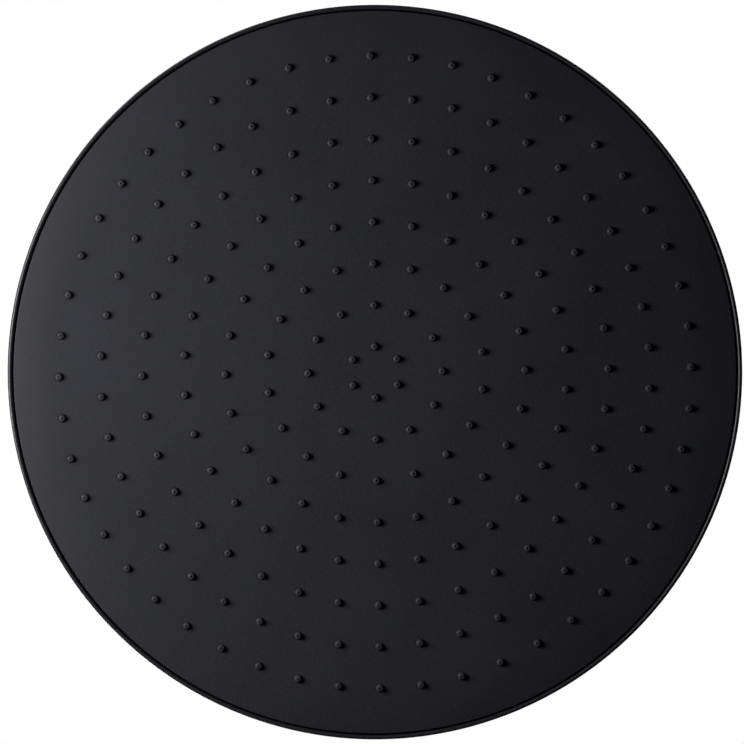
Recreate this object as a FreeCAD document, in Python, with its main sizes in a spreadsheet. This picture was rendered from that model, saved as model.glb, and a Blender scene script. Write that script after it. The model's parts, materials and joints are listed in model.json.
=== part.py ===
import FreeCAD, Part
import math
import os

import Sketcher
from FreeCAD import Placement, Rotation, Vector

# Overhead rain shower head on a ball joint. Millimetres and degrees.
#
# The row's origin is on the axis, at the mouth of the female inlet thread, with +Z up and the
# spray face looking down. Pieces of the swivel are drawn about the ball's centre, and pieces
# of the head about the middle of the spray face; each body's Placement then sets its height.

# Driving sizes: alias, value, what it measures.
SIZES = [
    # head outline
    ("head_radius", 150, "outside of the rim"),
    ("shell_wall", 1.8, "back shell and its lip"),
    ("rim_height", 6, "straight part of the rim above the spray face"),
    ("edge_radius", 8, "round from the rim to the dome"),
    ("dome_apex", 21, "top of the dome, if it ran on to the axis"),
    ("lip_drop", 0.3, "lip below the spray face"),
    ("rim_gap", 0.6, "open groove between lip and face plate"),
    ("rim_gap_depth", 3.4, "height where the groove closes"),
    ("rim_fit", 0.1, "clearance where the shell centres the face plate"),
    ("boss_radius", 25, "boss of the back shell under the swivel"),
    ("boss_rise", 1.2, "boss above the dome"),
    ("bearing_rib_width", 1.2, "shell rib that presses on the chamber plate"),
    ("bearing_margin", 0.2, "shell rib inside the chamber plate's edge"),
    # spray face and water chamber
    ("plate_thickness", 2.5, "face plate"),
    ("face_edge_round", 0.4, "lower edge of the face plate"),
    ("upstand_wall", 1.6, "upstand round the face plate"),
    ("upstand_height", 6, "upstand above the plate"),
    ("plate_side_gap", 0.4, "chamber plate to upstand"),
    ("chamber_height", 4.5, "face plate to chamber plate"),
    ("chamber_plate_thickness", 2.2, "chamber plate"),
    ("rib_height", 2, "ribs on the chamber plate"),
    ("rib_width", 2, "ribs on the chamber plate"),
    ("rib_count", 12, "ribs on the chamber plate"),
    ("rib_root", 1, "ribs into the inlet boss"),
    ("seal_wall_inset", 14, "seal wall, in from the rim"),
    ("seal_wall_width", 3.6, "seal wall"),
    ("seal_groove_width", 2.4, "groove for the chamber seal"),
    ("seal_section_radius", 0.8, "chamber seal, squeezed"),
    # nozzles
    ("mat_thickness", 1.4, "nozzle mat"),
    ("mat_rim_wall", 1.4, "turned-up rim of the mat"),
    ("mat_fit", 0.1, "clearance round the mat and its sleeves"),
    ("mat_edge_margin", 1.9, "mat rim to the outer ring of nozzles"),
    ("inner_ring_radius", 10.45, "innermost ring of nozzles"),
    ("first_ring_nozzles", 6, "nozzles in the innermost ring, and more in each next one"),
    ("nozzle_radius", 1.8, "nozzle where it leaves the face"),
    ("nozzle_tip_radius", 1.2, "nozzle at its tip"),
    ("nozzle_length", 2.2, "nozzle below the face"),
    ("nozzle_play", 0.05, "nozzle in its hole in the face plate"),
    ("nozzle_bore_radius", 0.9, "water way into the nozzle"),
    ("nozzle_exit_radius", 0.4, "hole at the tip"),
    ("nozzle_exit_length", 0.8, "narrow part of the hole"),
    # screws that close the chamber
    ("screw_inset", 9.5, "outer screw circle, in from the rim"),
    ("outer_screws", 12, "screws round the rim"),
    ("inner_screws", 6, "screws between two rings of nozzles"),
    ("screw_radius", 1.4, "screw thread"),
    ("screw_length", 6.5, "screw under its head"),
    ("screw_tip", 0.8, "point of the screw"),
    ("screw_tip_radius", 0.5, "point of the screw"),
    ("screw_head_radius", 2.8, "screw head"),
    ("screw_head_height", 1.8, "screw head"),
    ("screw_head_bevel", 0.6, "upper edge of the screw head"),
    ("screw_hole_clearance", 0.2, "hole in the chamber plate"),
    ("screw_slot_width", 0.6, "slots of the cross recess"),
    ("screw_slot_length", 3, "slots of the cross recess"),
    ("screw_slot_depth", 1.1, "slots of the cross recess"),
    ("pilot_clearance", 0.05, "pilot hole, cut by the screw's thread"),
    ("pilot_floor", 1.5, "plate left under a pilot hole"),
    ("screw_boss_wall", 1.75, "boss round a pilot hole"),
    ("sleeve_wall", 1.3, "mat sleeve round an inner boss"),
    # inlet boss, insert and socket stem
    ("stem_radius", 10, "thread of the socket's stem"),
    ("stem_clearance", 0.2, "stem in shell and gasket"),
    ("stem_bore_radius", 6, "water way down the stem"),
    ("stem_tip_step", 1.2, "plain end of the stem, inside its thread"),
    ("stem_tip_length", 4.5, "plain end of the stem"),
    ("stem_tip_gap", 1, "stem end above the chamber plate's lower side"),
    ("insert_fit", 0.05, "stem in the insert"),
    ("insert_wall", 3, "threaded insert"),
    ("insert_floor", 0.5, "stem shoulder above the insert's seat"),
    ("inlet_boss_wall", 3.4, "boss round the insert"),
    ("inlet_ring_section", 0.85, "radius of the inlet O-ring's section, squeezed"),
    ("inlet_ring_groove_width", 2.2, "groove on the stem"),
    ("inlet_ring_groove_offset", 1.5, "groove above the stem's end"),
    ("spreader_radius", 15, "flow spreader"),
    ("spreader_thickness", 1.2, "flow spreader"),
    ("spreader_post_radius", 1.2, "posts of the spreader"),
    ("spreader_post_circle", 12, "posts of the spreader"),
    ("spreader_post_depth", 1.2, "posts into the chamber plate"),
    ("spreader_posts", 3, "posts of the spreader"),
    # hub: flange, gasket and socket
    ("gasket_thickness", 1, "hub gasket"),
    ("gasket_margin", 0.6, "gasket inside the flange's edge"),
    ("flange_radius", 21, "flange of the ball socket"),
    ("flange_thickness", 3, "flange of the ball socket"),
    ("flange_chamfer", 0.7, "upper edge of the flange"),
    ("nut_gap", 1.2, "nut to flange"),
    # ball joint
    ("ball_radius", 12.5, "ball"),
    ("neck_radius", 6, "neck over the ball"),
    ("waterway_radius", 4, "bore of neck and ball"),
    ("tilt_limit", 15, "swing about each axis"),
    ("swing_margin", 2.3, "spare angle beside the neck"),
    ("slip_margin", 1, "spare angle of the slip washer over the ball's equator"),
    ("opening_margin", 1.2, "spare angle at the nut's opening"),
    ("swing_clearance", 0.4, "nut to the connector's underside"),
    ("swivel_play", 0.1, "each sliding fit of the ball joint"),
    ("slip_thickness", 1.2, "slip washer"),
    ("seat_inner_angle", 38, "seat ring's inner edge, from straight down"),
    ("seat_outer_angle", 62, "seat ring's outer edge, from straight down"),
    ("seat_wall", 1.1, "seat ring outside its seat"),
    ("ball_floor_gap", 0.5, "ball to the rim of the water way in the socket"),
    ("cup_floor", 2.7, "socket under the seat ring"),
    ("socket_top_drop", 2, "top of the socket below the ball's centre"),
    ("socket_lip_clearance", 0.35, "lip to ball"),
    ("socket_wall", 2, "socket outside the O-ring's groove"),
    ("socket_chamfer", 0.5, "ends of the socket's threads"),
    ("ball_ring_section", 0.9, "radius of the ball O-ring's section"),
    ("ball_ring_depth", 3.6, "ball O-ring below the ball's centre"),
    ("ball_ring_play", 0.05, "ball O-ring to ball"),
    ("thread_play", 0.1, "nut on socket"),
    ("nut_wall", 3, "nut outside its thread"),
    ("nut_lip", 1.25, "nut over the slip washer's seat"),
    ("nut_flare", 0.8, "bevel of the nut's opening"),
    ("nut_face_width", 2.9, "flat ring on top of the nut"),
    ("nut_shoulder", 5.5, "cone on top of the nut"),
    ("nut_chamfer", 0.8, "lower edge of the nut"),
    ("nut_shelf", 1.5, "end of the nut's thread below the ball's centre"),
    ("grip_count", 24, "grip flutes of the nut"),
    ("grip_radius", 1.2, "grip flutes of the nut"),
    ("grip_depth", 0.5, "grip flutes of the nut"),
    ("grip_top", 3.6, "grip flutes end above the ball's centre"),
    # connector
    ("thread_radius", 9.32, "minor radius of the G1/2 inlet thread"),
    ("thread_length", 10.8, "inlet thread"),
    ("undercut_radius", 9.8, "recess that holds the washer"),
    ("undercut_length", 2.7, "recess that holds the washer"),
    ("connector_radius", 13.6, "connector across its corners"),
    ("flat_distance", 12, "axis to a spanner flat"),
    ("spanner_flats", 6, "flats of the connector"),
    ("connector_chamfer", 0.8, "upper edge of the connector"),
    ("socket_floor", 1.1, "floor of the inlet over the connector's lower edge"),
    ("washer_play", 0.2, "washer and screen in their recess"),
    ("washer_thickness", 2, "inlet washer"),
    ("washer_bore_radius", 6.4, "inlet washer"),
    ("screen_thickness", 0.5, "filter screen"),
    ("screen_hole_radius", 0.55, "holes of the screen"),
    ("screen_hole_pitch", 1.75, "rings of holes of the screen"),
    ("screen_ring_holes", 6, "holes in the screen's first ring, and more in each next one"),
    ("restrictor_pocket_radius", 6.2, "pocket of the flow restrictor"),
    ("restrictor_pocket_depth", 2.6, "pocket of the flow restrictor"),
    ("restrictor_play", 0.2, "restrictor in its pocket"),
    ("restrictor_hole_radius", 0.8, "water holes of the restrictor"),
    ("restrictor_hole_circle", 2.6, "water holes of the restrictor"),
    ("restrictor_holes", 6, "water holes of the restrictor"),
    ("restrictor_ring_section", 0.6, "radius of the restrictor O-ring's section"),
]

# Counts that set how many features part.py adds.
NOZZLE_RINGS = 8
SCREEN_RINGS = 3
SCREW_RING = 3  # the inner screws stand between this ring of nozzles and the next

# Sizes worked out from the driving ones: alias and formula.
DERIVED = [
    # dome: a cap about the axis that runs on smoothly from the edge round
    ("edge_centre", "=Sizes.head_radius - Sizes.edge_radius"),
    (
        "dome_centre",
        "=((Sizes.dome_apex - Sizes.edge_radius)^2 - .edge_centre^2 - Sizes.rim_height^2)"
        " / (2 * (Sizes.dome_apex - Sizes.edge_radius - Sizes.rim_height))",
    ),
    ("dome_radius", "=Sizes.dome_apex - .dome_centre"),
    ("lean_x", "=.edge_centre / (.dome_radius - Sizes.edge_radius)"),
    ("lean_z", "=(Sizes.rim_height - .dome_centre) / (.dome_radius - Sizes.edge_radius)"),
    ("dome_end_x", "=.edge_centre + Sizes.edge_radius * .lean_x"),
    ("dome_end_z", "=Sizes.rim_height + Sizes.edge_radius * .lean_z"),
    ("inner_edge_radius", "=Sizes.edge_radius - Sizes.shell_wall"),
    ("inner_dome_radius", "=.dome_radius - Sizes.shell_wall"),
    ("inner_end_x", "=.edge_centre + .inner_edge_radius * .lean_x"),
    ("inner_end_z", "=Sizes.rim_height + .inner_edge_radius * .lean_z"),
    ("boss_foot", "=.dome_centre + sqrt(.dome_radius^2 - Sizes.boss_radius^2)"),
    ("boss_under", "=.dome_centre + sqrt(.inner_dome_radius^2 - Sizes.boss_radius^2)"),
    ("hub_top", "=Sizes.dome_apex + Sizes.boss_rise"),
    # rim
    ("lip_inside", "=Sizes.head_radius - Sizes.shell_wall"),
    ("lip_round", "=Sizes.shell_wall / 2"),
    ("lip_middle", "=Sizes.head_radius - Sizes.shell_wall / 2"),
    ("lip_start", "=Sizes.shell_wall / 2 - Sizes.lip_drop"),
    ("plate_radius", "=.lip_inside - Sizes.rim_gap"),
    ("centring_radius", "=.plate_radius + Sizes.rim_fit"),
    ("centring_start", "=Sizes.rim_gap_depth + .lip_inside - .centring_radius"),
    (
        "centring_top",
        "=Sizes.rim_height + sqrt(.inner_edge_radius^2 - (.centring_radius - .edge_centre)^2)",
    ),
    # face plate and chamber
    ("chamber_under", "=Sizes.plate_thickness + Sizes.chamber_height"),
    ("chamber_top", "=.chamber_under + Sizes.chamber_plate_thickness"),
    ("upstand_inside", "=.plate_radius - Sizes.upstand_wall"),
    ("upstand_top", "=Sizes.plate_thickness + Sizes.upstand_height"),
    ("chamber_radius", "=.upstand_inside - Sizes.plate_side_gap"),
    ("bearing_outer", "=.chamber_radius - Sizes.bearing_margin"),
    ("bearing_inner", "=.bearing_outer - Sizes.bearing_rib_width"),
    (
        "bearing_outer_top",
        "=Sizes.rim_height + sqrt(.inner_edge_radius^2 - (.bearing_outer - .edge_centre)^2)",
    ),
    (
        "bearing_inner_top",
        "=Sizes.rim_height + sqrt(.inner_edge_radius^2 - (.bearing_inner - .edge_centre)^2)",
    ),
    ("seal_outside", "=Sizes.head_radius - Sizes.seal_wall_inset"),
    ("seal_inside", "=.seal_outside - Sizes.seal_wall_width"),
    ("seal_radius", "=(.seal_outside + .seal_inside) / 2"),
    ("seal_groove_inner", "=.seal_radius - Sizes.seal_groove_width / 2"),
    ("seal_groove_outer", "=.seal_radius + Sizes.seal_groove_width / 2"),
    ("seal_groove_floor", "=.chamber_under - 2 * Sizes.seal_section_radius"),
    ("mat_radius", "=.seal_inside - Sizes.mat_fit"),
    ("mat_rim_inside", "=.mat_radius - Sizes.mat_rim_wall"),
    ("mat_top", "=Sizes.plate_thickness + Sizes.mat_thickness"),
    # screws
    ("screw_circle", "=Sizes.head_radius - Sizes.screw_inset"),
    ("pilot_radius", "=Sizes.screw_radius + Sizes.pilot_clearance"),
    ("screw_boss_radius", "=.pilot_radius + Sizes.screw_boss_wall"),
    ("screw_hole_radius", "=Sizes.screw_radius + Sizes.screw_hole_clearance"),
    ("sleeve_bore", "=.screw_boss_radius + Sizes.mat_fit"),
    ("sleeve_radius", "=.sleeve_bore + Sizes.sleeve_wall"),
    # inlet boss and insert
    ("stem_tip_radius", "=Sizes.stem_radius - Sizes.stem_tip_step"),
    ("stem_end", "=.chamber_under + Sizes.stem_tip_gap"),
    ("stem_shoulder", "=.stem_end + Sizes.stem_tip_length"),
    ("insert_seat", "=.stem_shoulder - Sizes.insert_floor"),
    ("insert_bore", "=Sizes.stem_radius + Sizes.insert_fit"),
    ("insert_radius", "=.insert_bore + Sizes.insert_wall"),
    ("inlet_boss_radius", "=.insert_radius + Sizes.inlet_boss_wall"),
    ("inlet_bore", "=.stem_tip_radius + Sizes.stem_clearance"),
    ("stem_groove_radius", "=.inlet_bore - 2 * Sizes.inlet_ring_section"),
    ("inlet_ring_radius", "=.inlet_bore - Sizes.inlet_ring_section"),
    ("stem_groove_start", "=.stem_end + Sizes.inlet_ring_groove_offset"),
    ("spreader_gap", "=(.chamber_under - .mat_top - Sizes.spreader_thickness) / 2"),
    ("spreader_top", "=.chamber_under - .spreader_gap"),
    # ball joint, about the ball's centre
    ("seat_radius", "=Sizes.ball_radius + Sizes.swivel_play"),
    ("slip_outer", "=.seat_radius + Sizes.slip_thickness"),
    ("nut_seat", "=.slip_outer + Sizes.swivel_play"),
    ("neck_angle", "=asin(Sizes.neck_radius / Sizes.ball_radius)"),
    ("neck_height", "=sqrt(Sizes.ball_radius^2 - Sizes.neck_radius^2)"),
    ("ball_end", "=sqrt(Sizes.ball_radius^2 - Sizes.waterway_radius^2)"),
    ("corner_tilt", "=acos(cos(Sizes.tilt_limit)^2)"),
    ("slip_top", "=.neck_angle + (Sizes.tilt_limit + Sizes.swing_margin) * 1 deg"),
    ("slip_bottom", "=(90 - Sizes.tilt_limit - Sizes.slip_margin) * 1 deg"),
    ("opening_angle", "=.neck_angle + .corner_tilt + Sizes.opening_margin * 1 deg"),
    ("opening_radius", "=.nut_seat * sin(.opening_angle)"),
    ("opening_height", "=.nut_seat * cos(.opening_angle)"),
    ("nut_top", "=.opening_height + Sizes.nut_lip"),
    ("nut_flare_radius", "=.opening_radius + Sizes.nut_flare"),
    ("nut_face_radius", "=.nut_flare_radius + Sizes.nut_face_width"),
    ("cone_foot", "=(.nut_top + Sizes.swing_clearance) / cos(.corner_tilt)"),
    ("cone_inner", "=.cone_foot + Sizes.neck_radius * tan(.corner_tilt)"),
    ("cone_outer", "=.cone_foot + Sizes.connector_radius * tan(.corner_tilt)"),
    ("inlet_floor", "=.cone_outer + Sizes.socket_floor"),
    ("thread_end", "=.inlet_floor + Sizes.undercut_length"),
    ("inlet_height", "=.thread_end + Sizes.thread_length"),
    ("restrictor_floor", "=.inlet_floor - Sizes.restrictor_pocket_depth"),
    # ball socket, about the ball's centre
    ("ball_ring_distance", "=Sizes.ball_radius + Sizes.ball_ring_play + Sizes.ball_ring_section"),
    ("ball_ring_radius", "=sqrt(.ball_ring_distance^2 - Sizes.ball_ring_depth^2)"),
    ("ball_groove_radius", "=.ball_ring_radius + Sizes.ball_ring_section + Sizes.ball_ring_play"),
    ("ball_groove_half", "=Sizes.ball_ring_section + Sizes.ball_ring_play"),
    ("seat_ring_radius", "=.seat_radius * sin(Sizes.seat_outer_angle) + Sizes.seat_wall"),
    (
        "seat_pocket_floor",
        "=sqrt((Sizes.ball_radius + Sizes.ball_floor_gap)^2 - Sizes.stem_bore_radius^2)",
    ),
    ("seat_pocket_radius", "=.seat_ring_radius + Sizes.swivel_play"),
    ("seat_ring_bottom", "=.seat_pocket_floor - Sizes.swivel_play"),
    ("socket_mouth", "=Sizes.ball_radius + Sizes.socket_lip_clearance"),
    ("socket_thread", "=.ball_groove_radius + Sizes.socket_wall"),
    ("nut_bore", "=.socket_thread + Sizes.thread_play"),
    ("nut_radius", "=.nut_bore + Sizes.nut_wall"),
    ("flange_under", "=.seat_pocket_floor + Sizes.cup_floor"),
    ("flange_top", "=.flange_under - Sizes.flange_thickness"),
    ("nut_skirt", "=.flange_top - Sizes.nut_gap"),
    # heights
    ("ball_height", "=.hub_top + Sizes.gasket_thickness + .flange_under"),
    ("swivel_place", "=-.inlet_height"),
    ("face_place", "=-.inlet_height - .ball_height"),
    # nozzle rings
    ("outer_ring_radius", "=.mat_rim_inside - Sizes.mat_edge_margin"),
    ("ring_pitch", f"=(.outer_ring_radius - Sizes.inner_ring_radius) / {NOZZLE_RINGS - 1}"),
    ("inner_screw_circle", f"=Sizes.inner_ring_radius + .ring_pitch * {SCREW_RING - 0.5}"),
]

doc = FreeCAD.newDocument("RainShowerHead")


# ---------------------------------------------------------------- sheets


def make_sheet(name, rows):
    """A spreadsheet with one row per size: its name, its value or formula, and a note."""
    sheet = doc.addObject("Spreadsheet::Sheet", name)
    for number, row in enumerate(rows, start=1):
        sheet.set(f"A{number}", row[0])
        sheet.set(f"B{number}", str(row[1]))
        sheet.setAlias(f"B{number}", row[0])
        if len(row) > 2:
            sheet.set(f"C{number}", row[2])
    doc.recompute()
    return sheet


make_sheet("Sizes", SIZES)
derived = make_sheet("Derived", DERIVED)


def value(formula):
    """The number that an expression stands for now."""
    result = derived.evalExpression(formula)
    return float(getattr(result, "Value", result))


# ---------------------------------------------------------------- sketches


def origin_feature(body, role):
    """One of a body's own origin planes or axes."""
    return next(f for f in body.Origin.OriginFeatures if f.Role == role)


def add_body(label, height="0"):
    """An empty body at a height over the row's origin."""
    body = doc.addObject("PartDesign::Body", label)
    body.Label = label
    body.Placement = Placement(Vector(0, 0, value(height)), Rotation())
    body.setExpression("Placement.Base.z", height)
    return body


def add_sketch(body, role, shift_x="0", shift_z="0", turned="0"):
    """A sketch on one of the body's origin planes: shifted along X or off the plane, or turned
    about the plane's normal by an angle."""
    sketch = body.newObject("Sketcher::SketchObject", "Sketch")
    sketch.AttachmentSupport = [(origin_feature(body, role), "")]
    sketch.MapMode = "FlatFace"
    if shift_x != "0":
        sketch.setExpression("AttachmentOffset.Base.x", shift_x)
    if shift_z != "0":
        sketch.setExpression("AttachmentOffset.Base.z", shift_z)
    if turned != "0":
        sketch.AttachmentOffset = Placement(Vector(), Rotation(Vector(0, 0, 1), value(turned)))
        sketch.setExpression("AttachmentOffset.Rotation.Angle", turned)
    return sketch


def bind(sketch, kind, geometry, point, formula):
    """A dimension from the sketch's origin that follows an expression."""
    if formula == "0":
        axis = -2 if kind == "DistanceX" else -1
        sketch.addConstraint(Sketcher.Constraint("PointOnObject", geometry, point, axis))
        return
    number = sketch.addConstraint(Sketcher.Constraint(kind, geometry, point, value(formula)))
    sketch.setExpression(f"Constraints[{number}]", formula)


def arc_between(start, end, radius):
    """The short arc from start to end, counter-clockwise unless the radius is negative."""
    chord = end - start
    reach = math.sqrt(max(radius * radius - chord.Length**2 / 4, 0))
    left = Vector(-chord.y, chord.x, 0).normalize()
    turn = 1 if radius > 0 else -1
    centre = (start + end) * 0.5 + left * reach * turn
    first, last = (start, end) if radius > 0 else (end, start)
    angles = [math.atan2(p.y - centre.y, p.x - centre.x) for p in (first, last)]
    return Part.ArcOfCircle(Part.Circle(centre, Vector(0, 0, 1), abs(radius)), *angles)


def draw_outline(sketch, corners):
    """A closed outline. A corner is (x, y) or (x, y, radius), where the radius is that of
    the arc that leads on to the next corner: (sign, formula), clockwise where the sign is -1."""
    points = [Vector(value(c[0]), value(c[1]), 0) for c in corners]
    ends = []
    for number, corner in enumerate(corners):
        start, end = points[number], points[(number + 1) % len(points)]
        if len(corner) == 2:
            sketch.addGeometry(Part.LineSegment(start, end), False)
            ends.append((1, 2))
            continue
        sign, formula = corner[2]
        sketch.addGeometry(arc_between(start, end, sign * value(formula)), False)
        ends.append((1, 2) if sign > 0 else (2, 1))
    for number, corner in enumerate(corners):
        following = (number + 1) % len(corners)
        joint = Sketcher.Constraint(
            "Coincident", number, ends[number][1], following, ends[following][0]
        )
        sketch.addConstraint(joint)
        bind(sketch, "DistanceX", number, ends[number][0], corner[0])
        bind(sketch, "DistanceY", number, ends[number][0], corner[1])
        if len(corner) == 3:
            formula = corner[2][1]
            place = sketch.addConstraint(Sketcher.Constraint("Radius", number, value(formula)))
            sketch.setExpression(f"Constraints[{place}]", formula)


def draw_circle(sketch, x, y, radius):
    """A circle whose centre and radius follow expressions."""
    circle = Part.Circle(Vector(value(x), value(y), 0), Vector(0, 0, 1), value(radius))
    number = sketch.addGeometry(circle, False)
    bind(sketch, "DistanceX", number, 3, x)
    bind(sketch, "DistanceY", number, 3, y)
    place = sketch.addConstraint(Sketcher.Constraint("Radius", number, value(radius)))
    sketch.setExpression(f"Constraints[{place}]", radius)


# ---------------------------------------------------------------- features


def turn(body, corners, shift_x="0", kind="Revolution"):
    """A turned feature: an outline in the XZ plane, spun about the sketch's own upright axis."""
    sketch = add_sketch(body, "XZ_Plane", shift_x=shift_x)
    draw_outline(sketch, corners)
    feature = body.newObject(f"PartDesign::{kind}", kind)
    feature.Profile = sketch
    feature.ReferenceAxis = (sketch, ["V_Axis"])
    feature.Angle = 360
    doc.recompute()
    return feature


def pad(body, draw, base, length, turned="0"):
    """Adds what draw(sketch) outlines, from the height base upwards by length."""
    sketch = add_sketch(body, "XY_Plane", shift_z=base, turned=turned)
    draw(sketch)
    feature = body.newObject("PartDesign::Pad", "Pad")
    feature.Profile = sketch
    feature.setExpression("Length", length)
    doc.recompute()
    return feature


def pocket(body, draw, top, depth):
    """Cuts what draw(sketch) outlines, from the height top downwards by depth."""
    before = body.Shape.Volume
    sketch = add_sketch(body, "XY_Plane", shift_z=top)
    draw(sketch)
    feature = body.newObject("PartDesign::Pocket", "Pocket")
    feature.Profile = sketch
    feature.setExpression("Length", depth)
    doc.recompute()
    if not body.Shape.Volume < before:
        raise RuntimeError(f"{body.Label}: {feature.Name} cut nothing")
    return feature


def around(body, features, count):
    """Repeats features round the body's upright axis."""
    pattern = body.newObject("PartDesign::PolarPattern", "PolarPattern")
    pattern.Originals = features
    pattern.Axis = (origin_feature(body, "Z_Axis"), [""])
    pattern.Angle = 360
    pattern.setExpression("Occurrences", count)
    body.Tip = pattern
    doc.recompute()
    return pattern


def box_outline(x_low, x_high, half_width):
    """Draws a rectangle that lies along X, centred on the X axis."""
    corners = [
        (x_low, f"-({half_width})"),
        (x_high, f"-({half_width})"),
        (x_high, half_width),
        (x_low, half_width),
    ]
    return lambda sketch: draw_outline(sketch, corners)


def circle_at(x, radius):
    """Draws a circle on the X axis."""
    return lambda sketch: draw_circle(sketch, x, "0", radius)


def turned_piece(label, corners, height):
    """A body that is one turned solid."""
    body = add_body(label, height)
    turn(body, corners)
    return body


def ring_seal(label, radius, section, height):
    """An O-ring."""
    ring = doc.addObject("Part::Torus", label)
    ring.Label = label
    ring.Placement = Placement(Vector(0, 0, value(height)), Rotation())
    ring.setExpression("Radius1", radius)
    ring.setExpression("Radius2", section)
    ring.setExpression("Placement.Base.z", height)
    return ring


def nozzle_rings():
    """Each ring's radius and number of nozzles, as expressions."""
    for ring in range(NOZZLE_RINGS):
        radius = f"Sizes.inner_ring_radius + Derived.ring_pitch * {ring}"
        yield radius, f"Sizes.first_ring_nozzles * {ring + 1}"


def screw_circles():
    """Each screw circle's radius and number of screws, as expressions."""
    yield "Derived.screw_circle", "Sizes.outer_screws"
    yield "Derived.inner_screw_circle", "Sizes.inner_screws"


SWIVEL = "Derived.swivel_place"
FACE = "Derived.face_place"


# ---------------------------------------------------------------- connector


def ball_connector():
    """Inlet socket, neck and ball in one turning, with spanner flats."""
    body = add_body("ball_connector", SWIVEL)
    top = "Derived.inlet_height"
    outline = [
        ("Sizes.thread_radius", top),
        ("Sizes.thread_radius", "Derived.thread_end"),
        ("Sizes.undercut_radius", "Derived.thread_end"),
        ("Sizes.undercut_radius", "Derived.inlet_floor"),
        ("Sizes.restrictor_pocket_radius", "Derived.inlet_floor"),
        ("Sizes.restrictor_pocket_radius", "Derived.restrictor_floor"),
        ("Sizes.waterway_radius", "Derived.restrictor_floor"),
        ("Sizes.waterway_radius", "-Derived.ball_end", (1, "Sizes.ball_radius")),
        ("Sizes.neck_radius", "Derived.neck_height"),
        ("Sizes.neck_radius", "Derived.cone_inner"),
        ("Sizes.connector_radius", "Derived.cone_outer"),
        ("Sizes.connector_radius", f"{top} - Sizes.connector_chamfer"),
        ("Sizes.connector_radius - Sizes.connector_chamfer", top),
    ]
    turn(body, outline)
    beyond = "2 * Sizes.connector_radius"
    flat = pocket(
        body,
        box_outline("Sizes.flat_distance", beyond, "Sizes.connector_radius"),
        top,
        f"{top} - Derived.cone_outer",
    )
    around(body, [flat], "Sizes.spanner_flats")
    return body


def inlet_washer():
    """Captive rubber washer in the inlet's recess."""
    low = "Derived.inlet_floor + Sizes.screen_thickness"
    high = f"{low} + Sizes.washer_thickness"
    outer = "Sizes.undercut_radius - Sizes.washer_play"
    inner = "Sizes.washer_bore_radius"
    return turned_piece(
        "inlet_washer", [(inner, low), (outer, low), (outer, high), (inner, high)], SWIVEL
    )


def filter_screen():
    """Strainer disc between the washer and the inlet's floor."""
    body = add_body("filter_screen", SWIVEL)
    low = "Derived.inlet_floor"
    high = f"{low} + Sizes.screen_thickness"
    outer = "Sizes.undercut_radius - Sizes.washer_play"
    turn(body, [("0", low), (outer, low), (outer, high), ("0", high)])
    pocket(body, circle_at("0", "Sizes.screen_hole_radius"), high, "Sizes.screen_thickness")
    for ring in range(1, SCREEN_RINGS + 1):
        place = f"Sizes.screen_hole_pitch * {ring}"
        hole = pocket(
            body, circle_at(place, "Sizes.screen_hole_radius"), high, "Sizes.screen_thickness"
        )
        around(body, [hole], f"Sizes.screen_ring_holes * {ring}")
    return body


def flow_restrictor():
    """Regulator disc with a groove for its O-ring."""
    body = add_body("flow_restrictor", SWIVEL)
    low = "Derived.restrictor_floor"
    high = "Derived.inlet_floor - Sizes.restrictor_play"
    middle = f"({low} + {high}) / 2"
    outer = "Sizes.restrictor_pocket_radius - Sizes.restrictor_play"
    groove = "Sizes.restrictor_pocket_radius - 2 * Sizes.restrictor_ring_section"
    half = "Sizes.restrictor_ring_section"
    outline = [
        ("0", low),
        (outer, low),
        (outer, f"{middle} - {half}"),
        (groove, f"{middle} - {half}"),
        (groove, f"{middle} + {half}"),
        (outer, f"{middle} + {half}"),
        (outer, high),
        ("0", high),
    ]
    turn(body, outline)
    hole = pocket(
        body,
        circle_at("Sizes.restrictor_hole_circle", "Sizes.restrictor_hole_radius"),
        high,
        "Sizes.restrictor_pocket_depth",
    )
    around(body, [hole], "Sizes.restrictor_holes")
    return body


def restrictor_o_ring():
    """O-ring round the flow restrictor."""
    middle = "(Derived.restrictor_floor + Derived.inlet_floor - Sizes.restrictor_play) / 2"
    return ring_seal(
        "restrictor_o_ring",
        "Sizes.restrictor_pocket_radius - Sizes.restrictor_ring_section",
        "Sizes.restrictor_ring_section",
        f"{SWIVEL} + {middle}",
    )


# ---------------------------------------------------------------- ball joint


def slip_washer():
    """Spherical washer on the upper half of the ball."""
    corners = []
    for radius, angle, arc in (
        ("Derived.slip_outer", "Derived.slip_bottom", (1, "Derived.slip_outer")),
        ("Derived.slip_outer", "Derived.slip_top", None),
        ("Derived.seat_radius", "Derived.slip_top", (-1, "Derived.seat_radius")),
        ("Derived.seat_radius", "Derived.slip_bottom", None),
    ):
        corner = (f"{radius} * sin({angle})", f"{radius} * cos({angle})")
        corners.append(corner + (arc,) if arc else corner)
    return turned_piece("slip_washer", corners, SWIVEL)


def seat_ring():
    """Ring that carries the underside of the ball."""
    seat = "Derived.seat_radius"
    inner = f"{seat} * sin(Sizes.seat_inner_angle)"
    upper = f"-({seat} * cos(Sizes.seat_outer_angle))"
    bottom = "-Derived.seat_ring_bottom"
    outline = [
        (inner, f"-({seat} * cos(Sizes.seat_inner_angle))", (1, seat)),
        (f"{seat} * sin(Sizes.seat_outer_angle)", upper),
        ("Derived.seat_ring_radius", upper),
        ("Derived.seat_ring_radius", bottom),
        (inner, bottom),
    ]
    return turned_piece("seat_ring", outline, SWIVEL)


def ball_o_ring():
    """Water seal that rubs on the ball."""
    return ring_seal(
        "ball_o_ring",
        "Derived.ball_ring_radius",
        "Sizes.ball_ring_section",
        f"{SWIVEL} - Sizes.ball_ring_depth",
    )


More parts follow.
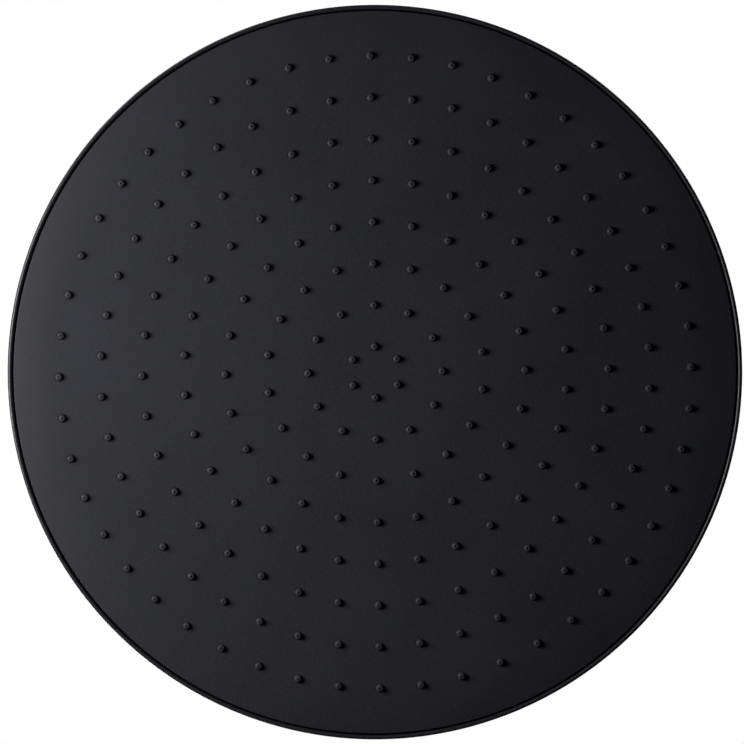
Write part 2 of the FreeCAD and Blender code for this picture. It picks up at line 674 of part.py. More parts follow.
def retaining_nut():
    """Nut that holds the ball in its socket, with grip flutes."""
    body = add_body("retaining_nut", SWIVEL)
    shelf = "-Sizes.nut_shelf"
    skirt = "-Derived.nut_skirt"
    outline = [
        ("Derived.nut_flare_radius", "Derived.nut_top"),
        ("Derived.opening_radius", "Derived.nut_top - Sizes.nut_flare"),
        ("Derived.opening_radius", "Derived.opening_height", (-1, "Derived.nut_seat")),
        ("Derived.nut_seat", "0"),
        ("Derived.nut_seat", shelf),
        ("Derived.nut_bore", shelf),
        ("Derived.nut_bore", skirt),
        ("Derived.nut_radius - Sizes.nut_chamfer", skirt),
        ("Derived.nut_radius", f"{skirt} + Sizes.nut_chamfer"),
        ("Derived.nut_radius", "Derived.nut_top - Sizes.nut_shoulder"),
        ("Derived.nut_face_radius", "Derived.nut_top"),
    ]
    turn(body, outline)
    flute = pocket(
        body,
        circle_at("Derived.nut_radius + Sizes.grip_radius - Sizes.grip_depth", "Sizes.grip_radius"),
        "Sizes.grip_top",
        "Sizes.grip_top + Derived.nut_skirt",
    )
    around(body, [flute], "Sizes.grip_count")
    return body


def ball_socket():
    """Threaded cup for the ball, with a flange and a stem that carries the water down."""
    # heights above the spray face, brought to the ball's centre
    stem_end = "Derived.stem_end - Derived.ball_height"
    shoulder = "Derived.stem_shoulder - Derived.ball_height"
    groove_low = "Derived.stem_groove_start - Derived.ball_height"
    groove_high = f"{groove_low} + Sizes.inlet_ring_groove_width"
    top = "-Sizes.socket_top_drop"
    groove_top = "-(Sizes.ball_ring_depth - Derived.ball_groove_half)"
    groove_floor = "-(Sizes.ball_ring_depth + Derived.ball_groove_half)"
    outline = [
        ("Derived.socket_mouth", top),
        ("Derived.socket_mouth", groove_top),
        ("Derived.ball_groove_radius", groove_top),
        ("Derived.ball_groove_radius", groove_floor),
        ("Derived.seat_pocket_radius", groove_floor),
        ("Derived.seat_pocket_radius", "-Derived.seat_pocket_floor"),
        ("Sizes.stem_bore_radius", "-Derived.seat_pocket_floor"),
        ("Sizes.stem_bore_radius", stem_end),
        ("Derived.stem_tip_radius - Sizes.socket_chamfer", stem_end),
        ("Derived.stem_tip_radius", f"{stem_end} + Sizes.socket_chamfer"),
        ("Derived.stem_tip_radius", groove_low),
        ("Derived.stem_groove_radius", groove_low),
        ("Derived.stem_groove_radius", groove_high),
        ("Derived.stem_tip_radius", groove_high),
        ("Derived.stem_tip_radius", shoulder),
        ("Sizes.stem_radius", shoulder),
        ("Sizes.stem_radius", "-Derived.flange_under"),
        ("Sizes.flange_radius", "-Derived.flange_under"),
        ("Sizes.flange_radius", "-Derived.flange_top - Sizes.flange_chamfer"),
        ("Sizes.flange_radius - Sizes.flange_chamfer", "-Derived.flange_top"),
        ("Derived.socket_thread", "-Derived.flange_top"),
        ("Derived.socket_thread", f"{top} - Sizes.socket_chamfer"),
        ("Derived.socket_thread - Sizes.socket_chamfer", top),
    ]
    return turned_piece("ball_socket", outline, SWIVEL)


def hub_gasket():
    """Flat gasket between the socket's flange and the shell."""
    low = "Derived.hub_top"
    high = f"{low} + Sizes.gasket_thickness"
    inner = "Sizes.stem_radius + Sizes.stem_clearance"
    outer = "Sizes.flange_radius - Sizes.gasket_margin"
    return turned_piece(
        "hub_gasket", [(inner, low), (outer, low), (outer, high), (inner, high)], FACE
    )


# ---------------------------------------------------------------- head


def back_shell():
    """Domed back with its rim, lip and centre boss."""
    hole = "Sizes.stem_radius + Sizes.stem_clearance"
    inner_edge = (-1, "Derived.inner_edge_radius")
    outline = [
        ("Derived.lip_inside", "Derived.lip_start", (1, "Derived.lip_round")),
        ("Derived.lip_middle", "-Sizes.lip_drop", (1, "Derived.lip_round")),
        ("Sizes.head_radius", "Derived.lip_start"),
        ("Sizes.head_radius", "Sizes.rim_height", (1, "Sizes.edge_radius")),
        ("Derived.dome_end_x", "Derived.dome_end_z", (1, "Derived.dome_radius")),
        ("Sizes.boss_radius", "Derived.boss_foot"),
        ("Sizes.boss_radius", "Derived.hub_top"),
        (hole, "Derived.hub_top"),
        (hole, "Derived.boss_under"),
        ("Sizes.boss_radius", "Derived.boss_under", (-1, "Derived.inner_dome_radius")),
        ("Derived.inner_end_x", "Derived.inner_end_z", inner_edge),
        ("Derived.bearing_inner", "Derived.bearing_inner_top"),
        ("Derived.bearing_inner", "Derived.chamber_top"),
        ("Derived.bearing_outer", "Derived.chamber_top"),
        ("Derived.bearing_outer", "Derived.bearing_outer_top", inner_edge),
        ("Derived.centring_radius", "Derived.centring_top"),
        ("Derived.centring_radius", "Derived.centring_start"),
        ("Derived.lip_inside", "Sizes.rim_gap_depth"),
    ]
    return turned_piece("back_shell", outline, FACE)


def chamber_plate():
    """Lid of the water chamber, with ribs, screw holes and the inlet boss."""
    body = add_body("chamber_plate", FACE)
    under, top = "Derived.chamber_under", "Derived.chamber_top"
    outline = [
        ("Derived.inlet_bore", under),
        ("Derived.chamber_radius", under),
        ("Derived.chamber_radius", top),
        ("Derived.inlet_boss_radius", top),
        ("Derived.inlet_boss_radius", "Derived.boss_under"),
        ("Derived.insert_radius", "Derived.boss_under"),
        ("Derived.insert_radius", "Derived.insert_seat"),
        ("Derived.inlet_bore", "Derived.insert_seat"),
    ]
    turn(body, outline)
    half_way = "180 deg / Sizes.rib_count"  # the ribs stand between the screws
    rib = pad(
        body,
        box_outline(
            "Derived.inlet_boss_radius - Sizes.rib_root",
            "Derived.seal_outside",
            "Sizes.rib_width / 2",
        ),
        top,
        "Sizes.rib_height",
        turned=half_way,
    )
    around(body, [rib], "Sizes.rib_count")
    for circle, count in screw_circles():
        hole = pocket(
            body,
            circle_at(circle, "Derived.screw_hole_radius"),
            top,
            "Sizes.chamber_plate_thickness",
        )
        around(body, [hole], count)
    post_hole = pocket(
        body,
        circle_at("Sizes.spreader_post_circle", "Sizes.spreader_post_radius"),
        f"{under} + Sizes.spreader_post_depth",
        "Sizes.spreader_post_depth",
    )
    around(body, [post_hole], "Sizes.spreader_posts")
    return body


def inlet_insert():
    """Threaded brass insert in the inlet boss."""
    low, high = "Derived.insert_seat", "Derived.boss_under"
    inner, outer = "Derived.insert_bore", "Derived.insert_radius"
    return turned_piece(
        "inlet_insert", [(inner, low), (outer, low), (outer, high), (inner, high)], FACE
    )


def inlet_o_ring():
    """O-ring on the plain end of the socket's stem."""
    return ring_seal(
        "inlet_o_ring",
        "Derived.inlet_ring_radius",
        "Sizes.inlet_ring_section",
        f"{FACE} + Derived.stem_groove_start + Sizes.inlet_ring_groove_width / 2",
    )


def chamber_seal():
    """O-ring round the water chamber."""
    return ring_seal(
        "chamber_seal",
        "Derived.seal_radius",
        "Sizes.seal_section_radius",
        f"{FACE} + Derived.chamber_under - Sizes.seal_section_radius",
    )


def flow_spreader():
    """Disc under the inlet, hung from the chamber plate on posts."""
    body = add_body("flow_spreader", FACE)
    low = "Derived.spreader_top - Sizes.spreader_thickness"
    high = "Derived.spreader_top"
    radius = "Sizes.spreader_radius"
    turn(body, [("0", low), (radius, low), (radius, high), ("0", high)])
    post = pad(
        body,
        circle_at("Sizes.spreader_post_circle", "Sizes.spreader_post_radius"),
        low,
        "Sizes.spreader_thickness + Derived.spreader_gap + Sizes.spreader_post_depth",
    )
    around(body, [post], "Sizes.spreader_posts")
    return body


def nozzle_mat():
    """Silicone mat with all the nozzles, a turned-up rim, and sleeves round the inner bosses."""
    body = add_body("nozzle_mat", FACE)
    low, top, rim = "Sizes.plate_thickness", "Derived.mat_top", "Derived.chamber_under"
    outline = [
        ("0", low),
        ("Derived.mat_radius", low),
        ("Derived.mat_radius", rim),
        ("Derived.mat_rim_inside", rim),
        ("Derived.mat_rim_inside", top),
        ("0", top),
    ]
    turn(body, outline)
    circle = "Derived.inner_screw_circle"
    sleeve = pad(
        body, circle_at(circle, "Derived.sleeve_radius"), low, "Sizes.chamber_height"
    )
    bore = pocket(body, circle_at(circle, "Derived.sleeve_bore"), rim, "Sizes.chamber_height")
    around(body, [sleeve, bore], "Sizes.inner_screws")
    root = f"{low} + Sizes.mat_thickness / 2"
    nozzle_outline = [
        ("0", "-Sizes.nozzle_length"),
        ("Sizes.nozzle_tip_radius", "-Sizes.nozzle_length"),
        ("Sizes.nozzle_radius", "0"),
        ("Sizes.nozzle_radius", root),
        ("0", root),
    ]
    exit_top = "-(Sizes.nozzle_length - Sizes.nozzle_exit_length)"
    past = "Sizes.nozzle_exit_radius"  # how far the cutter runs past both ends
    bore_outline = [
        ("0", f"-(Sizes.nozzle_length + {past})"),
        ("Sizes.nozzle_exit_radius", f"-(Sizes.nozzle_length + {past})"),
        ("Sizes.nozzle_exit_radius", exit_top),
        (
            "Sizes.nozzle_bore_radius",
            f"{exit_top} + Sizes.nozzle_bore_radius - Sizes.nozzle_exit_radius",
        ),
        ("Sizes.nozzle_bore_radius", f"{top} + {past}"),
        ("0", f"{top} + {past}"),
    ]
    for radius, count in nozzle_rings():
        nozzle = turn(body, nozzle_outline, shift_x=radius)
        water_way = turn(body, bore_outline, shift_x=radius, kind="Groove")
        around(body, [nozzle, water_way], count)
    return body


def face_plate():
    """Round spray face with its nozzle holes, seal wall, upstand and screw bosses."""
    body = add_body("face_plate", FACE)
    radius, inside = "Derived.plate_radius", "Sizes.plate_thickness"
    wall_top, upstand = "Derived.chamber_under", "Derived.upstand_top"
    outline = [
        ("0", "0"),
        (f"{radius} - Sizes.face_edge_round", "0", (1, "Sizes.face_edge_round")),
        (radius, "Sizes.face_edge_round"),
        (radius, upstand),
        ("Derived.upstand_inside", upstand),
        ("Derived.upstand_inside", inside),
        ("Derived.seal_outside", inside),
        ("Derived.seal_outside", wall_top),
        ("Derived.seal_groove_outer", wall_top),
        ("Derived.seal_groove_outer", "Derived.seal_groove_floor"),
        ("Derived.seal_groove_inner", "Derived.seal_groove_floor"),
        ("Derived.seal_groove_inner", wall_top),
        ("Derived.seal_inside", wall_top),
        ("Derived.seal_inside", inside),
        ("0", inside),
    ]
    turn(body, outline)
    for circle, count in screw_circles():
        boss = pad(
            body, circle_at(circle, "Derived.screw_boss_radius"), inside, "Sizes.chamber_height"
        )
        pilot = pocket(
            body,
            circle_at(circle, "Derived.pilot_radius"),
            wall_top,
            f"{wall_top} - Sizes.pilot_floor",
        )
        around(body, [boss, pilot], count)
    for circle, count in nozzle_rings():
        hole = pocket(
            body,
            circle_at(circle, "Sizes.nozzle_radius + Sizes.nozzle_play"),
            inside,
            "Sizes.plate_thickness",
        )
        around(body, [hole], count)
    return body


def chamber_screws():
    """All the screws that hold the chamber plate down, as separate solids of one group."""
    body = add_body("chamber_screws", FACE)
    seat = "Derived.chamber_top"
    tip = f"{seat} - Sizes.screw_length"
    head = f"{seat} + Sizes.screw_head_height"
    outline = [
        ("0", tip),
        ("Sizes.screw_tip_radius", tip),
        ("Sizes.screw_radius", f"{tip} + Sizes.screw_tip"),
        ("Sizes.screw_radius", seat),
        ("Sizes.screw_head_radius", seat),
        ("Sizes.screw_head_radius", f"{head} - Sizes.screw_head_bevel"),
        ("Sizes.screw_head_radius - Sizes.screw_head_bevel", head),
        ("0", head),
    ]
    for circle, count in screw_circles():
        screw = turn(body, outline, shift_x=circle)
        length, width = "Sizes.screw_slot_length / 2", "Sizes.screw_slot_width / 2"
        slots = [
            pocket(
                body,
                box_outline(f"{circle} - {across}", f"{circle} + {across}", along),
                head,
                "Sizes.screw_slot_depth",
            )
            for across, along in ((length, width), (width, length))
        ]
        around(body, [screw] + slots, count)
    return body


PIECES = (
    ball_connector,
    inlet_washer,
    filter_screen,
    flow_restrictor,
    restrictor_o_ring,
    slip_washer,
    seat_ring,
    ball_o_ring,
    retaining_nut,
    ball_socket,
    hub_gasket,
    back_shell,
    chamber_plate,
    inlet_insert,
    inlet_o_ring,
    chamber_seal,
    flow_spreader,
    nozzle_mat,
    face_plate,
    chamber_screws,
)


def check_document():
    """Stops at the first object that failed to recompute."""
    for item in doc.Objects:
        if {"Invalid", "Error"} & set(item.State):
            raise RuntimeError(f"{item.Label} is {item.State}")


def check_piece(piece):
    """Stops at a piece whose shape is missing or broken."""
    if piece.Shape.isNull() or not piece.Shape.isValid() or not piece.Shape.Solids:
        raise RuntimeError(f"{piece.Label} has no valid shape")


def main():
    pieces = [make() for make in PIECES]
    doc.recompute()
    check_document()
    for piece in pieces:
        check_piece(piece)
    os.makedirs("parts", exist_ok=True)
    for piece in pieces:
        piece.Shape.exportStep(f"parts/{piece.Label}.step")
        print(f"{piece.Label}: {len(piece.Shape.Solids)} solids, {piece.Shape.Volume:.1f} mm3")


main()
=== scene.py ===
import json
from math import acos, atan2, cos, pi, radians, sin, sqrt

import bmesh
import bpy
from bpy.props import FloatProperty, FloatVectorProperty, IntProperty, PointerProperty
from mathutils import Matrix, Vector


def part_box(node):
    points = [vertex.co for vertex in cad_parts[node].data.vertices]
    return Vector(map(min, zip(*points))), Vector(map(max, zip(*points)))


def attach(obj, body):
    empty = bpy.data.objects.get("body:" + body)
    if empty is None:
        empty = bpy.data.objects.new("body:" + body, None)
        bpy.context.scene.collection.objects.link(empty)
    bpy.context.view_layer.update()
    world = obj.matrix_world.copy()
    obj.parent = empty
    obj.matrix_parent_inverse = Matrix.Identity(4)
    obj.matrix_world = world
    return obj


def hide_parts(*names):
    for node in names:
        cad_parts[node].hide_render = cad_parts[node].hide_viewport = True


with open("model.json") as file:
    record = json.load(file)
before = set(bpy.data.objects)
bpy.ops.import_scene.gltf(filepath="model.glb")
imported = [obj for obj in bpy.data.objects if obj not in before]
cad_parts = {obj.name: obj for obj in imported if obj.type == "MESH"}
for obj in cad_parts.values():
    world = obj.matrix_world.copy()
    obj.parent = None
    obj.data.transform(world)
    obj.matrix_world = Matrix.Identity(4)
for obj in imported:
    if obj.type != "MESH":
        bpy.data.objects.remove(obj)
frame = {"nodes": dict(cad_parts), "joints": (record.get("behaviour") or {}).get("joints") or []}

bl_info = {
    "name": "Overhead rain shower head",
    "version": (1, 0, 0),
    "blender": (4, 5, 0),
    "location": "3D View > Sidebar > Rain head",
    "description": "Builds the visible pieces, finishes and stage of an overhead rain shower head",
    "category": "Add Mesh",
}

MM = 0.001
TURN = 2 * pi
MERGE = 0.001 * MM  # points closer than this become one
CAD_MERGE = 0.002 * MM  # the same for the loose triangles of a CAD node
NEAR = 0.02 * MM  # as good as at the same height or radius
LEVEL = radians(0.5)  # faces this nearly level become one

# Heights and sizes that the frame gives; the head's axis is the Z axis, with +Z up
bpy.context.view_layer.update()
SHELL_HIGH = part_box("back_shell")[1]
FACE_LOW, FACE_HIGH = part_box("face_plate")
MAT_LOW, MAT_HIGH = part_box("nozzle_mat")
NUT_LOW, NUT_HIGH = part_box("retaining_nut")
SCREEN_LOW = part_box("filter_screen")[0]
RESTRICTOR_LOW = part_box("flow_restrictor")[0]
FACE_Z = FACE_LOW[2]
INLET_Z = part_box("ball_connector")[1][2]
BALL_Z = frame["joints"][0]["pos_m"][2]

# Faces along the rounds of an outline
LIP_STEPS = 10
EDGE_STEPS = 14
DOME_STEPS = 30
PLATE_EDGE_STEPS = 5
SEAT_STEPS = 12
BALL_STEPS = 40
CORNER_STEPS = 4
EDGE_BREAK_STEPS = 2

# A Mix node's sockets for colours, by their number
MIX_FACTOR, MIX_LOW, MIX_HIGH, MIX_RESULT = 0, 6, 7, 2


# ---------------------------------------------------------------- sizes and finishes to change


def length(name, description, default):
    """A size in metres, shown as a distance."""
    return FloatProperty(
        name=name, description=description, default=default, min=0.0, subtype="DISTANCE",
        unit="LENGTH", precision=5,
    )


def colour(name, description, default):
    """A base colour."""
    return FloatVectorProperty(
        name=name, description=description, default=default, size=3, min=0.0, max=1.0,
        subtype="COLOR",
    )


class ShellSizes(bpy.types.PropertyGroup):
    """Sizes of the domed back."""

    radius: length("Radius", "Outside of the rim", SHELL_HIGH[0])
    wall: length("Wall", "Thickness of the shell and its lip", 1.8 * MM)
    lip_drop: length("Lip drop", "Lip below the spray face", 0.3 * MM)
    groove_height: length("Groove height", "Where the groove inside the lip closes", 3.4 * MM)
    rim_height: length("Rim height", "Straight part of the rim", 6 * MM)
    edge_radius: length("Edge radius", "Round from the rim to the dome", 8 * MM)
    apex: length("Apex", "Top of the dome over the face, run on to the axis", 21 * MM)
    boss_radius: length("Boss radius", "Boss under the swivel", 25 * MM)
    boss_round: length("Boss round", "Rounding at the boss's foot and top", 0.42 * MM)
    stem_hole: length("Stem hole", "Hole for the socket's stem", 10.2 * MM)
    steps: IntProperty(name="Steps", description="Faces round the shell", default=288, min=24)


class FaceSizes(bpy.types.PropertyGroup):
    """Sizes of the spray face and its nozzles."""

    radius: length("Radius", "Face plate", FACE_HIGH[0])
    thickness: length("Thickness", "Face plate", 2.5 * MM)
    edge_round: length("Edge round", "Lower edge of the face plate", 0.4 * MM)
    upstand_wall: length("Upstand wall", "Upstand round the face plate", 1.6 * MM)
    rings: IntProperty(name="Rings", description="Rings of nozzles", default=8, min=1)
    first_ring: IntProperty(
        name="First ring", description="Nozzles in the innermost ring", default=6, min=1
    )
    inner_ring: length("Inner ring", "Radius of the innermost ring", 10.45 * MM)
    outer_ring: length("Outer ring", "Radius of the outermost ring", 129.0 * MM)
    hole_radius: length("Hole radius", "Hole that a nozzle comes through", 1.85 * MM)
    hole_bevel: length("Hole bevel", "Broken edge at a hole's mouth", 0.14 * MM)
    nozzle_radius: length("Nozzle radius", "Nozzle at the face", 1.8 * MM)
    tip_radius: length("Tip radius", "Nozzle at its tip", 1.24 * MM)
    tip_round: length("Tip round", "Rounding at the tip's edge", 0.16 * MM)
    exit_radius: length("Exit radius", "Hole at the tip", 0.42 * MM)
    exit_floor: length("Exit floor", "Radius at the bottom of the hole", 0.34 * MM)
    exit_depth: length("Exit depth", "Depth that shows in the hole", 0.6 * MM)
    mat_wall: length("Mat wall", "Mat behind the plate, and its rim", 1.4 * MM)
    hole_sides: IntProperty(name="Hole sides", description="Faces round a hole", default=12, min=8)
    nozzle_sides: IntProperty(
        name="Nozzle sides", description="Faces round a nozzle", default=12, min=8
    )
    steps: IntProperty(name="Steps", description="Faces round the plate", default=288, min=24)


class SwivelSizes(bpy.types.PropertyGroup):
    """Sizes of the nut, the socket's flange and the ball connector."""

    ball_radius: length("Ball radius", "Ball", 12.5 * MM)
    neck_radius: length("Neck radius", "Neck over the ball", 6 * MM)
    waterway: length("Water way", "Bore of ball and neck", 4 * MM)
    collar_radius: length("Collar radius", "Outside of the connector", 13.6 * MM)
    flat_distance: length("Flat distance", "Axis to each spanner flat", 12 * MM)
    flats: IntProperty(name="Flats", description="Spanner flats", default=6, min=2)
    collar_chamfer: length("Collar chamfer", "Upper edge of the connector", 0.8 * MM)
    cone_outer: length("Cone outer", "Collar's lower edge over the ball's centre", 16.39 * MM)
    cone_inner: length("Cone inner", "Cone's root over the ball's centre", 13.46 * MM)
    thread_crest: length("Thread crest", "Inlet thread, inside", 9.34 * MM)
    thread_root: length("Thread root", "Inlet thread, outside", 10.36 * MM)
    thread_pitch: length("Thread pitch", "Inlet thread", 1.814 * MM)
    thread_depth: length("Thread depth", "Length of the inlet thread", 10.8 * MM)
    thread_foot: length("Thread foot", "Half the ridge's width at the wall", 0.76 * MM)
    thread_land: length("Thread land", "Half the ridge's width at its crest", 0.16 * MM)
    thread_sink: length("Thread sink", "Ridge's foot behind the wall", 0.05 * MM)
    mouth_bevel: length("Mouth bevel", "Width of the bevel at the inlet", 0.3 * MM)
    mouth_depth: length("Mouth depth", "Depth of the bevel at the inlet", 0.4 * MM)
    neck_sink: length("Neck sink", "Neck's end inside the collar", 0.6 * MM)
    recess_radius: length("Recess radius", "Room for the washer under the thread", 9.8 * MM)
    pocket_radius: length("Pocket radius", "Room for the flow restrictor", 6.2 * MM)
    nut_opening: length("Nut opening", "Hole round the neck", 10.8 * MM)
    nut_flare: length("Nut flare", "Bevel of the opening", 0.8 * MM)
    nut_face: length("Nut face", "Outer radius of the nut's flat top", 14.5 * MM)
    nut_shoulder: length("Nut shoulder", "Height of the cone on the nut", 5.5 * MM)
    nut_chamfer: length("Nut chamfer", "Lower edge of the nut", 0.8 * MM)
    nut_seat: length("Nut seat", "Round seat inside the nut", 13.9 * MM)
    nut_shelf: length("Nut shelf", "End of the seat under the ball's centre", 1.5 * MM)
    nut_bore: length("Nut bore", "Thread inside the nut", 16.0 * MM)
    nut_round: length("Nut round", "Rounding at the nut's edges", 0.35 * MM)
    flute_width: length("Flute width", "Grip flutes", 2.4 * MM)
    flute_depth: length("Flute depth", "Grip flutes", 0.5 * MM)
    flute_top: length("Flute top", "Flutes end over the ball's centre", 3.6 * MM)
    flute_fade: length("Flute fade", "Length over which a flute runs out", 0.9 * MM)
    flutes: IntProperty(name="Flutes", description="Grip flutes of the nut", default=24, min=3)
    flute_steps: IntProperty(
        name="Flute steps", description="Faces from a flute to the next", default=14, min=6
    )
    edge_break: length("Edge break", "Rounding at the connector's edges", 0.25 * MM)
    steps: IntProperty(name="Steps", description="Faces round a turned piece", default=96, min=24)


class FinishSettings(bpy.types.PropertyGroup):
    """Base colours of the finishes."""

    matte_plastic: colour("Matte plastic", "Face plate", (0.0255, 0.0266, 0.035))
    satin_plastic: colour("Satin plastic", "Back shell and its lip", (0.03, 0.031, 0.039))
    silicone: colour("Silicone", "Nozzles", (0.05, 0.051, 0.059))
    black_coating: colour("Black coating", "Coated brass of the swivel", (0.02, 0.02, 0.0225))
    brass: colour("Brass", "Bare brass", (0.72, 0.53, 0.27))
    rubber: colour("Rubber", "Seals", (0.018, 0.018, 0.019))
    white_polymer: colour("White polymer", "Slip washer and seat ring", (0.82, 0.82, 0.79))
    inner_plastic: colour("Inner plastic", "Chamber plate and spreader", (0.05, 0.05, 0.055))
    restrictor_green: colour("Restrictor", "Flow restrictor", (0.5, 0.66, 0.52))
    steel: colour("Steel", "Screen", (0.6, 0.6, 0.6))
    zinc: colour("Zinc", "Screws", (0.58, 0.6, 0.63))


class StageSettings(bpy.types.PropertyGroup):
    """Camera, lights and floor."""

    fill: FloatProperty(
        name="Fill", description="Head's radius as a share of half the frame", default=0.9878
    )
    turn: FloatProperty(
        name="Turn", description="Camera's turn about the axis", default=radians(0.9),
        subtype="ANGLE", unit="ROTATION",
    )
    shift_right: FloatProperty(name="Shift right", description="Lens shift", default=-0.00396)
    shift_up: FloatProperty(name="Shift up", description="Lens shift", default=0.00016)
    lens: FloatProperty(name="Lens", description="Focal length in mm", default=250.0)
    floor_drop: length("Floor drop", "Floor below the camera", 0.5)
    key_power: FloatProperty(
        name="Key power", description="Light beside the face", default=1.68, unit="POWER"
    )
    top_power: FloatProperty(
        name="Top power", description="Light over the left", default=20.0, unit="POWER"
    )
    back_power: FloatProperty(
        name="Back power", description="Light over the far right", default=11.0, unit="POWER"
    )
    side_power: FloatProperty(
        name="Side power", description="Low light beside the rim", default=9.0, unit="POWER"
    )
    ambient: FloatProperty(name="Ambient", description="Light from all round", default=0.01)


class HeadSettings(bpy.types.PropertyGroup):
    """Everything that the panel shows."""

    shell: PointerProperty(type=ShellSizes)
    face: PointerProperty(type=FaceSizes)
    swivel: PointerProperty(type=SwivelSizes)
    finishes: PointerProperty(type=FinishSettings)
    stage: PointerProperty(type=StageSettings)


# ---------------------------------------------------------------- shaping


def start_at(bm, radius, height):
    """First point of an outline, at a radius and a height."""
    return bm.verts.new((radius, 0, height))


def line_to(bm, tip, *corners):
    """Straight runs from a tip through corners of (radius, height)."""
    for radius, height in corners:
        made = bmesh.ops.extrude_vert_indiv(bm, verts=[tip])
        tip = made["verts"][0]
        tip.co = (radius, 0, height)
    return tip


def arc_to(bm, tip, centre, angle, steps):
    """An arc from a tip about centre (radius, height); a positive angle turns X towards Z."""
    made = bmesh.ops.spin(
        bm, geom=[tip], cent=(centre[0], 0, centre[1]), axis=(0, -1, 0), angle=angle, steps=steps,
    )
    return next(g for g in made["geom_last"] if isinstance(g, bmesh.types.BMVert))


def close_outline(bm, tip, first):
    """Joins an outline's last point to its first."""
    bm.edges.new((tip, first))


def spin_round(bm, steps, geom=None):
    """Turns an outline all the way round the head's axis."""
    bmesh.ops.spin(
        bm, geom=geom or bm.verts[:] + bm.edges[:], cent=(0, 0, 0), axis=(0, 0, 1), angle=TURN,
        steps=steps, use_merge=True,
    )


def ring_edges(bm, radius, height):
    """Edges of the ring at a radius and a height."""
    def on_ring(vert):
        flat = sqrt(vert.co.x**2 + vert.co.y**2)
        return abs(flat - radius) < NEAR and abs(vert.co.z - height) < NEAR
    return [e for e in bm.edges if all(on_ring(v) for v in e.verts)]


def round_ring(bm, radius, height, width):
    """Rounds the corner of a turned shape at a radius and a height."""
    bmesh.ops.bevel(
        bm, geom=ring_edges(bm, radius, height), offset=width, offset_type="OFFSET",
        segments=CORNER_STEPS, profile=0.5, affect="EDGES", material=-1,
    )


def added_since(bm, before):
    """The points added since before, and the same with their edges and faces."""
    verts = [v for v in bm.verts if v not in before]
    edges = dict.fromkeys(e for v in verts for e in v.link_edges)
    faces = dict.fromkeys(f for v in verts for f in v.link_faces)
    return verts, [*verts, *edges, *faces]


def merge(bm):
    """Joins the points that lie on each other."""
    bmesh.ops.remove_doubles(bm, verts=bm.verts[:], dist=MERGE)


def cut_away(bm, place, outward):
    """Cuts off what lies beyond a plane and closes the cut."""
    cut = bmesh.ops.bisect_plane(
        bm, geom=bm.verts[:] + bm.edges[:] + bm.faces[:], plane_co=place, plane_no=outward,
        clear_outer=True,
    )
    edges = [g for g in cut["geom_cut"] if isinstance(g, bmesh.types.BMEdge)]
    bmesh.ops.contextual_create(bm, geom=edges)


def break_edges(bm, width, angle=30.0):
    """Rounds a shape's sharp edges, so that they catch the light."""
    sharp = [e for e in bm.edges if e.is_manifold and e.calc_face_angle() > radians(angle)]
    bmesh.ops.bevel(
        bm, geom=sharp, offset=width, offset_type="OFFSET", segments=EDGE_BREAK_STEPS,
        profile=0.5, affect="EDGES", material=-1, clamp_overlap=True,
    )


def add_shape(bm, part):
    """Moves a second bmesh's faces into the first."""
    carrier = bpy.data.meshes.new("Carrier")
    part.to_mesh(carrier)
    part.free()
    bm.from_mesh(carrier)
    bpy.data.meshes.remove(carrier)


def repeat_round(bm, geom, count):
    """Copies geom to make count of it, evenly round the head's axis."""
    if count > 1:
        bmesh.ops.spin(
            bm, geom=geom, cent=(0, 0, 0), axis=(0, 0, 1), angle=TURN * (count - 1) / count,
            steps=count - 1, use_duplicate=True,
        )


def finish_piece(bm, name, body, material, replaced, sharp=40.0, turned_right=False):
    """Makes the bmesh an object that rides on a body and stands for CAD nodes."""
    merge(bm)
    if not turned_right:
        bmesh.ops.recalc_face_normals(bm, faces=bm.faces[:])
    mesh = bpy.data.meshes.new(name)
    bm.to_mesh(mesh)
    bm.free()
    mesh.shade_smooth()
    mesh.set_sharp_from_angle(angle=radians(sharp))
    mesh.materials.append(material)
    piece = bpy.data.objects.new(name, mesh)
    bpy.context.scene.collection.objects.link(piece)
    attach(piece, body)
    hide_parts(*replaced)
    return piece


def soften(piece, width, angle=30.0, segments=EDGE_BREAK_STEPS):
    """Rounds a finished piece's sharp edges with a modifier."""
    bevel = piece.modifiers.new("Broken edges", "BEVEL")
    bevel.width = width
    bevel.segments = segments
    bevel.limit_method = "ANGLE"
    bevel.angle_limit = radians(angle)
    bevel.harden_normals = True


# ---------------------------------------------------------------- shader groups


def add_node(tree, kind, **values):
    """A node with its properties, and its inputs by name."""
    node = tree.nodes.new(kind)
    for key, given in values.items():
        if hasattr(node, key):
            setattr(node, key, given)
        else:
            node.inputs[key.replace("_", " ")].default_value = given
    return node


def math_node(tree, operation, first, second):
    """A math node of two inputs, each a socket or a number."""
    node = tree.nodes.new("ShaderNodeMath")
    node.operation = operation
    for socket, given in zip(node.inputs, (first, second)):
        if isinstance(given, bpy.types.NodeSocket):
            tree.links.new(given, socket)
        else:
            socket.default_value = given
    return node.outputs[0]


def scaled(tree, source, low, high, from_low=0.0, from_high=1.0):
    """Takes a socket's range from_low to from_high to the range low to high."""
    node = tree.nodes.new("ShaderNodeMapRange")
    for name, given in (
        ("From Min", from_low), ("From Max", from_high), ("To Min", low), ("To Max", high),
    ):
        node.inputs[name].default_value = given
    tree.links.new(source, node.inputs["Value"])
    return node.outputs["Result"]


def spread(tree, source, from_low, from_high):
    """Stretches a part of a mask's range to 0 to 1."""
    return scaled(tree, source, 0.0, 1.0, from_low, from_high)


def new_group(name, inputs, outputs):
    """An empty shader group; returns it with its input and output nodes."""
    group = bpy.data.node_groups.new(name, "ShaderNodeTree")
    for label, kind, default in inputs:
        socket = group.interface.new_socket(label, in_out="INPUT", socket_type=kind)
        if default is not None:
            socket.default_value = default
    for label, kind in outputs:
        group.interface.new_socket(label, in_out="OUTPUT", socket_type=kind)
    return group, group.nodes.new("NodeGroupInput"), group.nodes.new("NodeGroupOutput")


